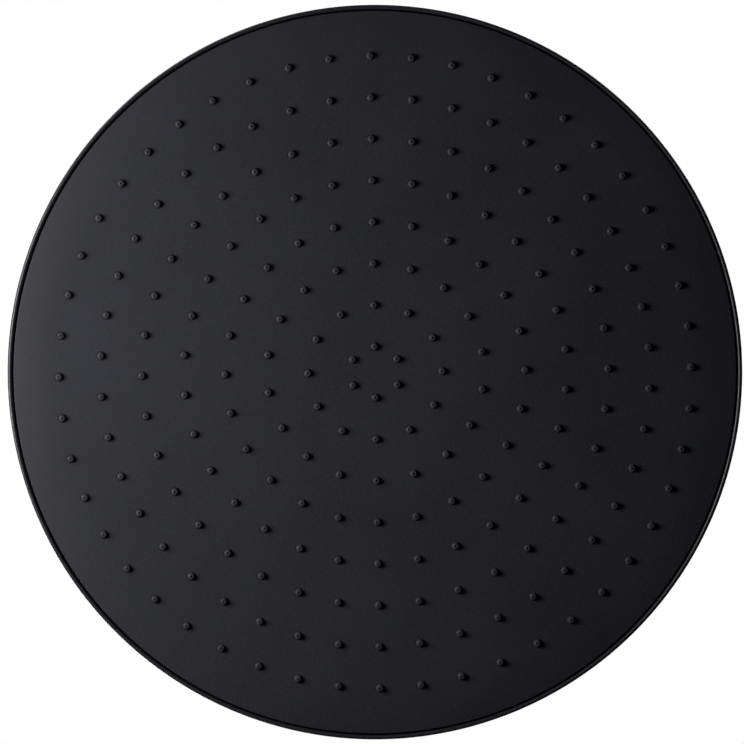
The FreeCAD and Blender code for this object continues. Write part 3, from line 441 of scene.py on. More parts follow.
def weighed(tree, first, share, second):
    """Two masks added up, by the first one's share of the whole."""
    return math_node(
        tree, "ADD",
        math_node(tree, "MULTIPLY", first, share),
        math_node(tree, "MULTIPLY", second, 1.0 - share),
    )


def noise_of(group, entry, size, detail, roughness=0.5):
    """Noise whose features have the size of a group input in metres."""
    noise = add_node(group, "ShaderNodeTexNoise", Detail=detail, Roughness=roughness)
    group.links.new(entry.outputs["Position"], noise.inputs["Vector"])
    group.links.new(math_node(group, "DIVIDE", 1.0, entry.outputs[size]), noise.inputs["Scale"])
    return noise.outputs["Fac"]


def moulded_grain_group():
    """Spark-eroded grain of a moulded face, and the slow cloudiness over it."""
    group, entry, exit_node = new_group(
        "Moulded grain",
        [
            ("Position", "NodeSocketVector", None),
            ("Grain size", "NodeSocketFloat", 0.4 * MM),
            ("Cloud size", "NodeSocketFloat", 40 * MM),
        ],
        [("Grain", "NodeSocketFloat"), ("Cloud", "NodeSocketFloat")],
    )
    fine = noise_of(group, entry, "Grain size", detail=3.0, roughness=0.6)
    pits = add_node(group, "ShaderNodeTexVoronoi", feature="SMOOTH_F1", Smoothness=0.6)
    group.links.new(entry.outputs["Position"], pits.inputs["Vector"])
    pits_per_grain = 0.7
    pit_scale = math_node(group, "DIVIDE", pits_per_grain, entry.outputs["Grain size"])
    group.links.new(pit_scale, pits.inputs["Scale"])
    both = math_node(group, "MULTIPLY", fine, scaled(group, pits.outputs["Distance"], 0.6, 1.4))
    group.links.new(spread(group, both, 0.3, 0.72), exit_node.inputs["Grain"])
    cloud = noise_of(group, entry, "Cloud size", detail=2.0)
    group.links.new(spread(group, cloud, 0.3, 0.7), exit_node.inputs["Cloud"])
    return group


def turned_rings_group():
    """Lines that a lathe tool leaves round the axis."""
    group, entry, exit_node = new_group(
        "Turned rings",
        [("Position", "NodeSocketVector", None), ("Feed", "NodeSocketFloat", 0.3 * MM)],
        [("Lines", "NodeSocketFloat"), ("Streaks", "NodeSocketFloat")],
    )
    parts = group.nodes.new("ShaderNodeSeparateXYZ")
    group.links.new(entry.outputs["Position"], parts.inputs[0])
    squares = math_node(
        group, "ADD",
        math_node(group, "MULTIPLY", parts.outputs["X"], parts.outputs["X"]),
        math_node(group, "MULTIPLY", parts.outputs["Y"], parts.outputs["Y"]),
    )
    outward = math_node(group, "POWER", squares, 0.5)
    path = math_node(group, "ADD", outward, parts.outputs["Z"])
    steps = math_node(group, "DIVIDE", path, entry.outputs["Feed"])
    wave = math_node(group, "SINE", math_node(group, "MULTIPLY", steps, TURN), 0.0)
    streaks_per_line = 0.23
    streak = add_node(group, "ShaderNodeTexNoise", noise_dimensions="1D", Scale=1.0, Detail=3.0)
    group.links.new(math_node(group, "MULTIPLY", steps, streaks_per_line), streak.inputs["W"])
    group.links.new(spread(group, wave, -1.0, 1.0), exit_node.inputs["Lines"])
    group.links.new(streak.outputs["Fac"], exit_node.inputs["Streaks"])
    return group


def water_marks_group():
    """Faint rings and spots that dried drops leave."""
    group, entry, exit_node = new_group(
        "Water marks",
        [("Position", "NodeSocketVector", None), ("Spot size", "NodeSocketFloat", 6 * MM)],
        [("Marks", "NodeSocketFloat")],
    )
    cells = add_node(group, "ShaderNodeTexVoronoi", Randomness=1.0)
    group.links.new(entry.outputs["Position"], cells.inputs["Vector"])
    spot_scale = math_node(group, "DIVIDE", 1.0, entry.outputs["Spot size"])
    group.links.new(spot_scale, cells.inputs["Scale"])
    # a mark's rim: how far out from a cell's middle it begins, is full and is gone
    begins, full, gone = 0.12, 0.2, 0.3
    inside = spread(group, cells.outputs["Distance"], begins, full)
    outside = scaled(group, cells.outputs["Distance"], 1.0, 0.0, full, gone)
    ring = math_node(group, "MULTIPLY", inside, outside)
    few = noise_of(group, entry, "Spot size", detail=1.0)
    kept = spread(group, few, 0.55, 0.75)
    group.links.new(math_node(group, "MULTIPLY", ring, kept), exit_node.inputs["Marks"])
    return group


def shader_group(name, maker):
    """A shader group, built the first time it is asked for."""
    return bpy.data.node_groups.get(name) or maker()


def place_group(tree, name, maker, position, **values):
    """Puts a shader group in a material, with its own values."""
    node = tree.nodes.new("ShaderNodeGroup")
    node.node_tree = shader_group(name, maker)
    tree.links.new(position, node.inputs["Position"])
    for key, given in values.items():
        node.inputs[key.replace("_", " ")].default_value = given
    return node.outputs


# ---------------------------------------------------------------- finishes


def new_finish(name):
    """A material with its shader, and Object coordinates to hang patterns on."""
    material = bpy.data.materials.new(name)
    material.use_nodes = True
    tree = material.node_tree
    shader = tree.nodes["Principled BSDF"]
    position = tree.nodes.new("ShaderNodeTexCoord").outputs["Object"]
    return material, tree, shader, position


def tint(tree, shader, base, mask, low, high, accent=None, accent_mask=None):
    """Base colour that a mask makes darker or lighter, with an accent colour over it."""
    mix = add_node(tree, "ShaderNodeMix", data_type="RGBA")
    mix.inputs[MIX_LOW].default_value = (*[c * low for c in base], 1.0)
    mix.inputs[MIX_HIGH].default_value = (*[min(c * high, 1.0) for c in base], 1.0)
    tree.links.new(mask, mix.inputs[MIX_FACTOR])
    result = mix.outputs[MIX_RESULT]
    if accent:
        over = add_node(tree, "ShaderNodeMix", data_type="RGBA")
        over.inputs[MIX_HIGH].default_value = (*accent, 1.0)
        tree.links.new(accent_mask, over.inputs[MIX_FACTOR])
        tree.links.new(result, over.inputs[MIX_LOW])
        result = over.outputs[MIX_RESULT]
    tree.links.new(result, shader.inputs["Base Color"])


def bump(tree, shader, height, distance, strength=1.0):
    """A bump from a height socket that runs from 0 to 1 over a distance in metres."""
    node = add_node(tree, "ShaderNodeBump", Strength=strength, Distance=distance)
    tree.links.new(height, node.inputs["Height"])
    tree.links.new(node.outputs["Normal"], shader.inputs["Normal"])


def black_plastic_finish(name, base, roughness, relief, specular):
    """Moulded black plastic with a fine even grain and faint water marks."""
    material, tree, shader, position = new_finish(name)
    grain = place_group(
        tree, "Moulded grain", moulded_grain_group, position, Grain_size=0.5 * MM, Cloud_size=50 * MM
    )
    marks = place_group(tree, "Water marks", water_marks_group, position, Spot_size=7 * MM)
    shader.inputs["Specular IOR Level"].default_value = specular
    tone = weighed(tree, grain["Grain"], 0.7, grain["Cloud"])
    lime = (0.3, 0.3, 0.29)
    faint = math_node(tree, "MULTIPLY", marks["Marks"], 0.015)
    tint(tree, shader, base, tone, 0.72, 1.4, lime, faint)
    smoother = math_node(tree, "MULTIPLY", marks["Marks"], 0.04)
    rough = math_node(tree, "SUBTRACT", scaled(tree, tone, *roughness), smoother)
    tree.links.new(rough, shader.inputs["Roughness"])
    bump(tree, shader, grain["Grain"], relief, strength=0.6)
    return material


def silicone_finish(base):
    """Satin silicone, with a faint chalky bloom."""
    material, tree, shader, position = new_finish("Nozzle silicone")
    grain = place_group(
        tree, "Moulded grain", moulded_grain_group, position, Grain_size=0.3 * MM, Cloud_size=12 * MM
    )
    shader.inputs["Specular IOR Level"].default_value = 0.4
    shader.inputs["Sheen Weight"].default_value = 0.06
    tint(tree, shader, base, grain["Cloud"], 0.85, 1.15)
    tree.links.new(scaled(tree, grain["Grain"], 0.42, 0.6), shader.inputs["Roughness"])
    bump(tree, shader, grain["Grain"], 0.015 * MM, strength=0.5)
    return material


def black_coating_finish(base):
    """Powder-like black coating on turned brass."""
    material, tree, shader, position = new_finish("Black coating")
    grain = place_group(
        tree, "Moulded grain", moulded_grain_group, position, Grain_size=0.25 * MM, Cloud_size=10 * MM
    )
    rings = place_group(tree, "Turned rings", turned_rings_group, position, Feed=0.35 * MM)
    shader.inputs["Specular IOR Level"].default_value = 0.55
    tint(tree, shader, base, grain["Cloud"], 0.85, 1.25)
    tree.links.new(scaled(tree, grain["Grain"], 0.34, 0.46), shader.inputs["Roughness"])
    height = weighed(tree, grain["Grain"], 0.8, rings["Lines"])
    bump(tree, shader, height, 0.02 * MM, strength=0.6)
    return material


def turned_metal_finish(name, base, roughness, feed):
    """Bare metal as the lathe left it."""
    material, tree, shader, position = new_finish(name)
    rings = place_group(tree, "Turned rings", turned_rings_group, position, Feed=feed)
    marks = place_group(tree, "Water marks", water_marks_group, position, Spot_size=4 * MM)
    shader.inputs["Metallic"].default_value = 1.0
    tarnish = (base[0] * 0.5, base[1] * 0.42, base[2] * 0.35)
    faint = math_node(tree, "MULTIPLY", marks["Marks"], 0.4)
    tint(tree, shader, base, rings["Streaks"], 0.82, 1.08, tarnish, faint)
    tree.links.new(scaled(tree, rings["Streaks"], *roughness), shader.inputs["Roughness"])
    bump(tree, shader, rings["Lines"], 0.008 * MM, strength=0.6)
    return material


def plain_moulding_finish(name, base, roughness, grain_size, specular=0.5):
    """Smooth moulded plastic or rubber, with slight flow clouds."""
    material, tree, shader, position = new_finish(name)
    grains_per_cloud = 30
    grain = place_group(
        tree, "Moulded grain", moulded_grain_group, position, Grain_size=grain_size,
        Cloud_size=grain_size * grains_per_cloud,
    )
    shader.inputs["Specular IOR Level"].default_value = specular
    tint(tree, shader, base, grain["Cloud"], 0.88, 1.12)
    tree.links.new(scaled(tree, grain["Grain"], *roughness), shader.inputs["Roughness"])
    bump(tree, shader, grain["Grain"], 0.01 * MM, strength=0.4)
    return material


# How each finish is made; roughness runs from its first value to its second
FINISHES = {
    "matte_plastic": lambda base: black_plastic_finish(
        "Matte black plastic", base, roughness=(0.5, 0.62), relief=0.03 * MM, specular=0.45
    ),
    "satin_plastic": lambda base: black_plastic_finish(
        "Satin black plastic", base, roughness=(0.28, 0.38), relief=0.012 * MM, specular=0.6
    ),
    "silicone": silicone_finish,
    "black_coating": black_coating_finish,
    "brass": lambda base: turned_metal_finish(
        "Turned brass", base, roughness=(0.2, 0.38), feed=0.3 * MM
    ),
    "steel": lambda base: turned_metal_finish(
        "Screen steel", base, roughness=(0.22, 0.4), feed=0.2 * MM
    ),
    "zinc": lambda base: turned_metal_finish(
        "Zinc plate", base, roughness=(0.28, 0.46), feed=0.4 * MM
    ),
    "rubber": lambda base: plain_moulding_finish(
        "Seal rubber", base, roughness=(0.5, 0.68), grain_size=0.3 * MM, specular=0.35
    ),
    "white_polymer": lambda base: plain_moulding_finish(
        "White polymer", base, roughness=(0.34, 0.46), grain_size=0.5 * MM
    ),
    "inner_plastic": lambda base: plain_moulding_finish(
        "Inner plastic", base, roughness=(0.4, 0.54), grain_size=0.6 * MM
    ),
    "restrictor_green": lambda base: plain_moulding_finish(
        "Restrictor plastic", base, roughness=(0.24, 0.34), grain_size=0.5 * MM
    ),
}
MADE_FINISHES = {}


def finish_for(key):
    """The material of a finish, made the first time it is used."""
    if key not in MADE_FINISHES:
        base = tuple(bpy.context.scene.rain_head.finishes.path_resolve(key))
        MADE_FINISHES[key] = FINISHES[key](base)
    return MADE_FINISHES[key]


# ---------------------------------------------------------------- head


def nozzle_radii(face):
    """Radius and count of each ring of nozzles."""
    pitch = (face.outer_ring - face.inner_ring) / (face.rings - 1)
    return [(face.inner_ring + pitch * ring, face.first_ring * (ring + 1))
            for ring in range(face.rings)]


class RAINHEAD_OT_back_shell(bpy.types.Operator):
    """Builds the domed back with its bead lip and centre boss"""

    bl_idname = "rainhead.back_shell"
    bl_label = "Back shell"

    def execute(self, context):
        shell = context.scene.rain_head.shell
        bm = bmesh.new()
        bead = shell.wall / 2
        inside = shell.radius - shell.wall
        lip = FACE_Z - shell.lip_drop + bead
        rim = FACE_Z + shell.rim_height
        edge_x = shell.radius - shell.edge_radius
        apex = FACE_Z + shell.apex
        # the dome is a cap about the axis that meets the edge round smoothly
        rise = shell.apex - shell.edge_radius
        depth = (rise**2 - edge_x**2 - shell.rim_height**2) / (2 * (rise - shell.rim_height))
        cap_radius = shell.apex - depth
        cap_z = FACE_Z + depth
        lean = atan2(shell.rim_height - depth, edge_x)
        boss_lean = acos(shell.boss_radius / cap_radius)

        first = start_at(bm, inside, lip)
        tip = arc_to(bm, first, (shell.radius - bead, lip), pi, LIP_STEPS)
        tip = line_to(bm, tip, (shell.radius, rim))
        tip = arc_to(bm, tip, (edge_x, rim), lean, EDGE_STEPS)
        tip = arc_to(bm, tip, (0, cap_z), boss_lean - lean, DOME_STEPS)
        tip = line_to(
            bm, tip, (shell.boss_radius, SHELL_HIGH[2]), (shell.stem_hole, SHELL_HIGH[2]),
            (shell.stem_hole, apex - shell.wall),
        )
        inner_cap = cap_radius - shell.wall
        inner_boss = acos(shell.boss_radius / inner_cap)
        tip = line_to(bm, tip, (shell.boss_radius, cap_z + inner_cap * sin(inner_boss)))
        tip = arc_to(bm, tip, (0, cap_z), lean - inner_boss, DOME_STEPS)
        tip = arc_to(bm, tip, (edge_x, rim), -lean, EDGE_STEPS)
        tip = line_to(bm, tip, (inside, FACE_Z + shell.groove_height))
        close_outline(bm, tip, first)
        spin_round(bm, shell.steps)
        merge(bm)
        for height in (cap_z + cap_radius * sin(boss_lean), SHELL_HIGH[2]):
            round_ring(bm, shell.boss_radius, height, shell.boss_round)
        finish_piece(
            bm, "Back_shell", "head", finish_for("satin_plastic"), ["back_shell"],
            sharp=50.0,
        )
        return {"FINISHED"}


def fill_between(bm, height):
    """Fills the flat region between the open edges at a height."""
    edges = [
        e for e in bm.edges
        if e.is_boundary and all(abs(v.co.z - height) < NEAR for v in e.verts)
    ]
    bmesh.ops.triangle_fill(bm, use_beauty=True, use_dissolve=False, edges=edges)


class RAINHEAD_OT_face_plate(bpy.types.Operator):
    """Builds the face plate with a broken-edged hole for each nozzle"""

    bl_idname = "rainhead.face_plate"
    bl_label = "Face plate"

    def execute(self, context):
        face = context.scene.rain_head.face
        bm = bmesh.new()
        top = FACE_Z + face.thickness
        flat = face.radius - face.edge_round
        tip = start_at(bm, flat, FACE_Z)
        tip = arc_to(bm, tip, (flat, FACE_Z + face.edge_round), pi / 2, PLATE_EDGE_STEPS)
        upstand = face.radius - face.upstand_wall
        line_to(bm, tip, (face.radius, FACE_HIGH[2]), (upstand, FACE_HIGH[2]), (upstand, top))
        spin_round(bm, face.steps)
        merge(bm)
        mouth = face.hole_radius + face.hole_bevel
        for radius, count in nozzle_radii(face):
            before = set(bm.verts)
            tip = start_at(bm, mouth, FACE_Z)
            line_to(bm, tip, (face.hole_radius, FACE_Z + face.hole_bevel), (face.hole_radius, top))
            spin_round(bm, face.hole_sides, added_since(bm, before)[1])
            verts, hole = added_since(bm, before)
            bmesh.ops.translate(bm, verts=verts, vec=(radius, 0, 0))
            repeat_round(bm, hole, count)
        merge(bm)
        fill_between(bm, FACE_Z)
        fill_between(bm, top)
        finish_piece(
            bm, "Face_plate", "head", finish_for("matte_plastic"), ["face_plate"],
            sharp=30.0,
        )
        return {"FINISHED"}


class RAINHEAD_OT_nozzle_mat(bpy.types.Operator):
    """Builds the silicone mat with its rings of tapered nozzles"""

    bl_idname = "rainhead.nozzle_mat"
    bl_label = "Nozzle mat"

    def execute(self, context):
        face = context.scene.rain_head.face
        bm = bmesh.new()
        back = FACE_Z + face.thickness
        wall = face.mat_wall
        tip_z = MAT_LOW[2]
        for radius, count in nozzle_radii(face):
            before = set(bm.verts)
            # each nozzle grows out of the middle of the mat's wall
            tip = start_at(bm, face.nozzle_radius, back + wall / 2)
            line_to(
                bm, tip, (face.nozzle_radius, FACE_Z), (face.tip_radius, tip_z + face.tip_round),
                (face.tip_radius - face.tip_round, tip_z), (face.exit_radius, tip_z),
                (face.exit_floor, tip_z + face.exit_depth),
            )
            spin_round(bm, face.nozzle_sides, added_since(bm, before)[1])
            verts, nozzle = added_since(bm, before)
            bmesh.ops.holes_fill(
                bm, edges=[g for g in nozzle if isinstance(g, bmesh.types.BMEdge)], sides=0
            )
            bmesh.ops.translate(bm, verts=verts, vec=(radius, 0, 0))
            repeat_round(bm, added_since(bm, before)[1], count)
        bmesh.ops.recalc_face_normals(bm, faces=bm.faces[:])
        # the mat itself, a dish behind the plate
        dish = bmesh.new()
        rim = MAT_HIGH[0]
        tip = start_at(dish, 0, back)
        line_to(
            dish, tip, (rim, back), (rim, MAT_HIGH[2]), (rim - wall, MAT_HIGH[2]),
            (rim - wall, back + wall), (0, back + wall),
        )
        spin_round(dish, face.steps)
        merge(dish)
        bmesh.ops.recalc_face_normals(dish, faces=dish.faces[:])
        add_shape(bm, dish)
        finish_piece(
            bm, "Nozzle_mat", "head", finish_for("silicone"), ["nozzle_mat"],
            sharp=60.0, turned_right=True,
        )
        return {"FINISHED"}


# ---------------------------------------------------------------- swivel


def threaded_collar(swivel):
    """The collar with its spanner flats, the inlet's bore and the rooms under it."""
    root = BALL_Z + swivel.cone_inner
    thread_end = INLET_Z - swivel.thread_depth
    collar = swivel.collar_radius
    chamfer = swivel.collar_chamfer
    floor = SCREEN_LOW[2]
    pocket = RESTRICTOR_LOW[2]
    bm = bmesh.new()
    first = start_at(bm, swivel.waterway, root)
    tip = line_to(
        bm, first, (collar, BALL_Z + swivel.cone_outer), (collar, INLET_Z - chamfer),
        (collar - chamfer, INLET_Z), (swivel.thread_root + swivel.mouth_bevel, INLET_Z),
        (swivel.thread_root, INLET_Z - swivel.mouth_depth), (swivel.thread_root, thread_end),
        (swivel.recess_radius, thread_end), (swivel.recess_radius, floor),
        (swivel.pocket_radius, floor), (swivel.pocket_radius, pocket), (swivel.waterway, pocket),
    )
    close_outline(bm, tip, first)
    spin_round(bm, swivel.steps)
    merge(bm)
    bmesh.ops.recalc_face_normals(bm, faces=bm.faces[:])
    for number in range(swivel.flats):
        angle = TURN * number / swivel.flats
        outward = Vector((cos(angle), sin(angle), 0))
        cut_away(bm, outward * swivel.flat_distance, outward)
    return bm


def thread_ridge(swivel):
    """The helical ridge of the inlet thread, cut level at both ends."""
    thread_end = INLET_Z - swivel.thread_depth
    thread_start = INLET_Z - swivel.mouth_depth
    foot = swivel.thread_root + swivel.thread_sink
    crest = swivel.thread_crest
    middle = thread_end - swivel.thread_foot
    bm = bmesh.new()
    first = start_at(bm, foot, middle - swivel.thread_foot)
    tip = line_to(
        bm, first, (crest, middle - swivel.thread_land), (crest, middle + swivel.thread_land),
        (foot, middle + swivel.thread_foot),
    )
    close_outline(bm, tip, first)
    turns = int((INLET_Z - middle) / swivel.thread_pitch) + 1
    bmesh.ops.spin(
        bm, geom=bm.verts[:] + bm.edges[:], cent=(0, 0, 0), axis=(0, 0, 1),
        dvec=(0, 0, swivel.thread_pitch / swivel.steps), angle=TURN * turns,
        steps=swivel.steps * turns,
    )
    cut_away(bm, (0, 0, thread_end), (0, 0, -1))
    cut_away(bm, (0, 0, thread_start), (0, 0, 1))
    bmesh.ops.recalc_face_normals(bm, faces=bm.faces[:])
    return bm


def ball_and_neck(swivel):
    """The ball and its neck round the water way."""
    ball = swivel.ball_radius
    end = acos(swivel.waterway / ball)
    neck = acos(swivel.neck_radius / ball)
    neck_top = BALL_Z + swivel.cone_inner + swivel.neck_sink
    bm = bmesh.new()
    first = start_at(bm, swivel.waterway, BALL_Z - ball * sin(end))
    tip = arc_to(bm, first, (0, BALL_Z), end + neck, BALL_STEPS)
    tip = line_to(bm, tip, (swivel.neck_radius, neck_top), (swivel.waterway, neck_top))
    close_outline(bm, tip, first)
    spin_round(bm, swivel.steps)
    merge(bm)
    bmesh.ops.recalc_face_normals(bm, faces=bm.faces[:])
    return bm


class RAINHEAD_OT_ball_connector(bpy.types.Operator):
    """Builds the threaded collar with its spanner flats, neck and ball"""

    bl_idname = "rainhead.ball_connector"
    bl_label = "Ball connector"

    def execute(self, context):
        swivel = context.scene.rain_head.swivel
        bm = threaded_collar(swivel)
        break_edges(bm, swivel.edge_break)
        add_shape(bm, thread_ridge(swivel))
        add_shape(bm, ball_and_neck(swivel))
        piece = finish_piece(
            bm, "Ball_connector", "connector", finish_for("black_coating"),
            ["ball_connector"], sharp=32.0, turned_right=True,
        )
        piece.modifiers.new("Even normals", "WEIGHTED_NORMAL").keep_sharp = True
        return {"FINISHED"}


# Where a flute's end has its rings of points, from full depth to none
FADE_SHARES = (1.0, 0.6, 0.25, 0.0)


class RAINHEAD_OT_retaining_nut(bpy.types.Operator):
    """Builds the nut with its conical shoulder and grip flutes"""

    bl_idname = "rainhead.retaining_nut"
    bl_label = "Retaining nut"

    def execute(self, context):
        swivel = context.scene.rain_head.swivel
        top = NUT_HIGH[2]
        skirt = NUT_LOW[2]
        outer = NUT_HIGH[0]
        seat_start = acos(swivel.nut_opening / swivel.nut_seat)
        shelf = BALL_Z - swivel.nut_shelf
        flute_end = BALL_Z + swivel.flute_top
        fade = swivel.flute_fade
        bm = bmesh.new()
        first = start_at(bm, outer - swivel.nut_chamfer, skirt)
        tip = line_to(
            bm, first, (outer, skirt + swivel.nut_chamfer),
            *[(outer, flute_end - fade * share) for share in FADE_SHARES],
            (outer, top - swivel.nut_shoulder), (swivel.nut_face, top),
            (swivel.nut_opening + swivel.nut_flare, top),
            (swivel.nut_opening, top - swivel.nut_flare),
            (swivel.nut_opening, BALL_Z + swivel.nut_seat * sin(seat_start)),
        )
        tip = arc_to(bm, tip, (0, BALL_Z), -seat_start, SEAT_STEPS)
        tip = line_to(
            bm, tip, (swivel.nut_seat, shelf), (swivel.nut_bore, shelf), (swivel.nut_bore, skirt),
        )
        close_outline(bm, tip, first)
        spin_round(bm, swivel.flutes * swivel.flute_steps)
        merge(bm)
        # grip flutes, pressed into the outside and faded out towards the shoulder
        pitch = TURN / swivel.flutes
        reach = swivel.flute_width / 2 / outer
        for vert in bm.verts:
            radius = Vector(vert.co.xy).length
            if radius < outer - swivel.nut_chamfer - NEAR or vert.co.z >= flute_end:
                continue
            angle = (atan2(vert.co.y, vert.co.x) + pitch / 2) % pitch - pitch / 2
            if abs(angle) >= reach:
                continue
            depth = swivel.flute_depth * cos(angle / reach * pi / 2)
            depth *= min(1.0, sqrt((flute_end - vert.co.z) / fade))
            vert.co.xy *= (radius - depth) / radius
        piece = finish_piece(
            bm, "Retaining_nut", "head", finish_for("black_coating"),
            ["retaining_nut"], sharp=32.0,
        )
        soften(piece, swivel.nut_round, angle=28.0, segments=3)
        piece.modifiers.new("Joined points", "WELD").merge_threshold = CAD_MERGE
        return {"FINISHED"}


# CAD nodes that keep their shape with broken edges: piece, body, slot, finish, edge's width
REFINED_NODES = {
    "ball_socket": ("Ball_socket", "head", "black_coated_brass", "black_coating", 0.2 * MM),
    "hub_gasket": ("Hub_gasket", "head", "seal_rubber", "rubber", 0.12 * MM),
    "inlet_washer": ("Inlet_washer", "connector", "seal_rubber", "rubber", 0.2 * MM),
    "slip_washer": ("Slip_washer", "slip_ring", "white_seat_plastic", "white_polymer", 0.1 * MM),
    "seat_ring": ("Ball_rest_ring", "ball_seat", "white_seat_plastic", "white_polymer", 0.1 * MM),
}


class RAINHEAD_OT_socket_and_seals(bpy.types.Operator):
    """Builds the socket's flange, the gasket and the pieces that show in the inlet"""

    bl_idname = "rainhead.socket_and_seals"
    bl_label = "Socket and seals"

    def execute(self, context):
        for node, (name, body, slot, finish, width) in REFINED_NODES.items():
            bm = bmesh.new()
            bm.from_mesh(frame["nodes"][node].data)
            bmesh.ops.remove_doubles(bm, verts=bm.verts[:], dist=CAD_MERGE)
            bmesh.ops.dissolve_limit(
                bm, angle_limit=LEVEL, use_dissolve_boundaries=False, verts=bm.verts[:],
                edges=bm.edges[:],
            )
            piece = finish_piece(
                bm, name, body, finish_for(finish), [node], sharp=30.0, turned_right=True
            )
            soften(piece, width)
        return {"FINISHED"}


NODE_FINISHES = {
    "filter_screen": "steel",
    "flow_restrictor": "restrictor_green",
    "restrictor_o_ring": "rubber",
    "ball_o_ring": "rubber",
    "chamber_plate": "inner_plastic",
    "inlet_insert": "brass",
    "inlet_o_ring": "rubber",
    "chamber_seal": "rubber",
    "flow_spreader": "inner_plastic",
    "chamber_screws": "zinc",
}


class RAINHEAD_OT_inner_finishes(bpy.types.Operator):
    """Gives the carried-over inner pieces their finishes"""

    bl_idname = "rainhead.inner_finishes"
    bl_label = "Inner finishes"

    def execute(self, context):
        for node, finish in NODE_FINISHES.items():
            piece = frame["nodes"][node]
            for slot in piece.material_slots:
                slot.material = finish_for(finish)
        return {"FINISHED"}


# ---------------------------------------------------------------- stage


SENSOR = 36.0  # width of the camera's sensor in mm
FAR = 200.0  # how far the camera sees
FLOOR_HALF = 60.0  # half the floor's side

# Soft lights: place and size
LIGHTS = {
    "Key": ((0.045, -0.38, FACE_Z - 0.3), 0.26),
    "Top": ((-0.5, -0.7, 1.3), 0.9),
    "Back": ((0.9, 1.0, 0.9), 0.8),
    "Side": ((1.3, -0.9, 0.3), 0.7),
}


def soft_light(name, place, target, size, power):
    """A square soft light that looks at a target and isn't seen itself."""
    data = bpy.data.lights.new(name, "AREA")
    data.size = size
    data.energy = power
    light = bpy.data.objects.new(name, data)
    light.matrix_world = (
        Matrix.Translation(place)
        @ (Vector(target) - Vector(place)).to_track_quat("-Z", "Y").to_matrix().to_4x4()
    )
    light.visible_camera = False
    bpy.context.scene.collection.objects.link(light)


def pale_ground(floor_z):
    """The plain floor, pale to the eye and out of the way of the light."""
    bm = bmesh.new()
    bmesh.ops.create_grid(bm, x_segments=1, y_segments=1, size=FLOOR_HALF)
    bmesh.ops.translate(bm, verts=bm.verts[:], vec=(0, 0, floor_z))
    mesh = bpy.data.meshes.new("Floor")
    bm.to_mesh(mesh)
    bm.free()
    floor = bpy.data.objects.new("Floor", mesh)
    material, _, shader, _ = new_finish("Pale floor")
    shader.inputs["Base Color"].default_value = (0.8, 0.8, 0.8, 1.0)
    shader.inputs["Roughness"].default_value = 0.9
    shader.inputs["Emission Color"].default_value = (0.97, 0.97, 0.97, 1.0)
    shader.inputs["Emission Strength"].default_value = 0.8
    mesh.materials.append(material)
    floor.visible_diffuse = False
    floor.visible_glossy = False
    bpy.context.scene.collection.objects.link(floor)


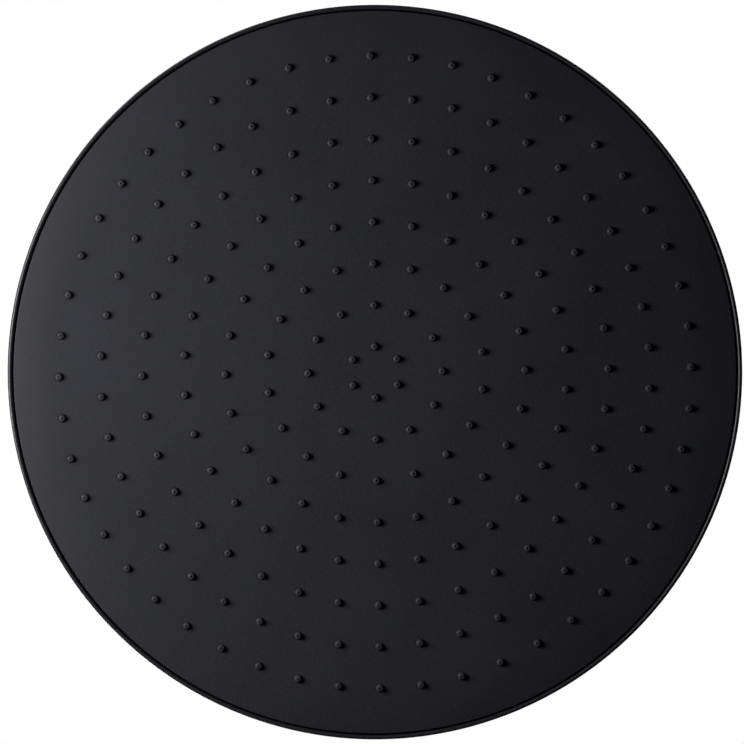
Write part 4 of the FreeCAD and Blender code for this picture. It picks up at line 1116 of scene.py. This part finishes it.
class RAINHEAD_OT_stage(bpy.types.Operator):
    """Sets the camera under the head, the soft lights and the pale surroundings"""

    bl_idname = "rainhead.stage"
    bl_label = "Stage"

    def execute(self, context):
        scene = context.scene
        stage = scene.rain_head.stage
        radius = scene.rain_head.shell.radius
        camera_data = bpy.data.cameras.new("Camera")
        camera_data.lens = stage.lens
        camera_data.sensor_width = SENSOR
        camera_data.shift_x = stage.shift_right
        camera_data.shift_y = stage.shift_up
        camera_data.clip_end = FAR
        camera = bpy.data.objects.new("Camera", camera_data)
        distance = radius / stage.fill * stage.lens / (SENSOR / 2)
        low = FACE_Z - distance
        up = Vector((cos(stage.turn), sin(stage.turn), 0))
        right = Vector((0, 0, 1)).cross(up)
        turn = Matrix((right, up, Vector((0, 0, -1)))).transposed().to_4x4()
        camera.matrix_world = Matrix.Translation((0, 0, low)) @ turn
        scene.collection.objects.link(camera)
        scene.camera = camera

        powers = {
            "Key": stage.key_power, "Top": stage.top_power, "Back": stage.back_power,
            "Side": stage.side_power,
        }
        for name, (place, size) in LIGHTS.items():
            soft_light(name, place, (0, 0, FACE_Z), size, powers[name])

        world = bpy.data.worlds.new("Studio")
        world.use_nodes = True
        tree = world.node_tree
        tree.nodes.clear()
        seen = add_node(tree, "ShaderNodeBackground", Color=(1, 1, 1, 1), Strength=1.0)
        lit = add_node(tree, "ShaderNodeBackground", Color=(0.95, 0.97, 1, 1))
        lit.inputs["Strength"].default_value = stage.ambient
        path = tree.nodes.new("ShaderNodeLightPath")
        mix = tree.nodes.new("ShaderNodeMixShader")
        out = tree.nodes.new("ShaderNodeOutputWorld")
        tree.links.new(path.outputs["Is Camera Ray"], mix.inputs[0])
        tree.links.new(lit.outputs[0], mix.inputs[1])
        tree.links.new(seen.outputs[0], mix.inputs[2])
        tree.links.new(mix.outputs[0], out.inputs["Surface"])
        scene.world = world
        scene.view_settings.view_transform = "Standard"
        pale_ground(low - stage.floor_drop)
        return {"FINISHED"}


# ---------------------------------------------------------------- panel and run


class RAINHEAD_PT_panel(bpy.types.Panel):
    """Lists the pieces and the stage"""

    bl_idname = "RAINHEAD_PT_panel"
    bl_label = "Rain head"
    bl_space_type = "VIEW_3D"
    bl_region_type = "UI"
    bl_category = "Rain head"

    def draw(self, context):
        settings = context.scene.rain_head
        for title, group in (
            ("Shell", settings.shell), ("Face", settings.face), ("Swivel", settings.swivel),
            ("Finishes", settings.finishes), ("Stage", settings.stage),
        ):
            box = self.layout.box()
            box.label(text=title)
            for key in group.bl_rna.properties.keys():
                if key not in {"rna_type", "name"}:
                    box.prop(group, key)
        for operator in OPERATORS:
            self.layout.operator(operator.bl_idname)


GROUPS = (ShellSizes, FaceSizes, SwivelSizes, FinishSettings, StageSettings, HeadSettings)
OPERATORS = (
    RAINHEAD_OT_back_shell,
    RAINHEAD_OT_face_plate,
    RAINHEAD_OT_nozzle_mat,
    RAINHEAD_OT_ball_connector,
    RAINHEAD_OT_retaining_nut,
    RAINHEAD_OT_socket_and_seals,
    RAINHEAD_OT_inner_finishes,
    RAINHEAD_OT_stage,
)


def register():
    for item in (*GROUPS, *OPERATORS, RAINHEAD_PT_panel):
        bpy.utils.register_class(item)
    bpy.types.Scene.rain_head = PointerProperty(type=HeadSettings)


def unregister():
    del bpy.types.Scene.rain_head
    for item in reversed((*GROUPS, *OPERATORS, RAINHEAD_PT_panel)):
        bpy.utils.unregister_class(item)


def main():
    """Builds the whole head and its stage."""
    register()
    bpy.ops.rainhead.stage()
    bpy.ops.rainhead.back_shell()
    bpy.ops.rainhead.face_plate()
    bpy.ops.rainhead.nozzle_mat()
    bpy.ops.rainhead.ball_connector()
    bpy.ops.rainhead.retaining_nut()
    bpy.ops.rainhead.socket_and_seals()
    bpy.ops.rainhead.inner_finishes()


if __name__ == "__main__":
    main()
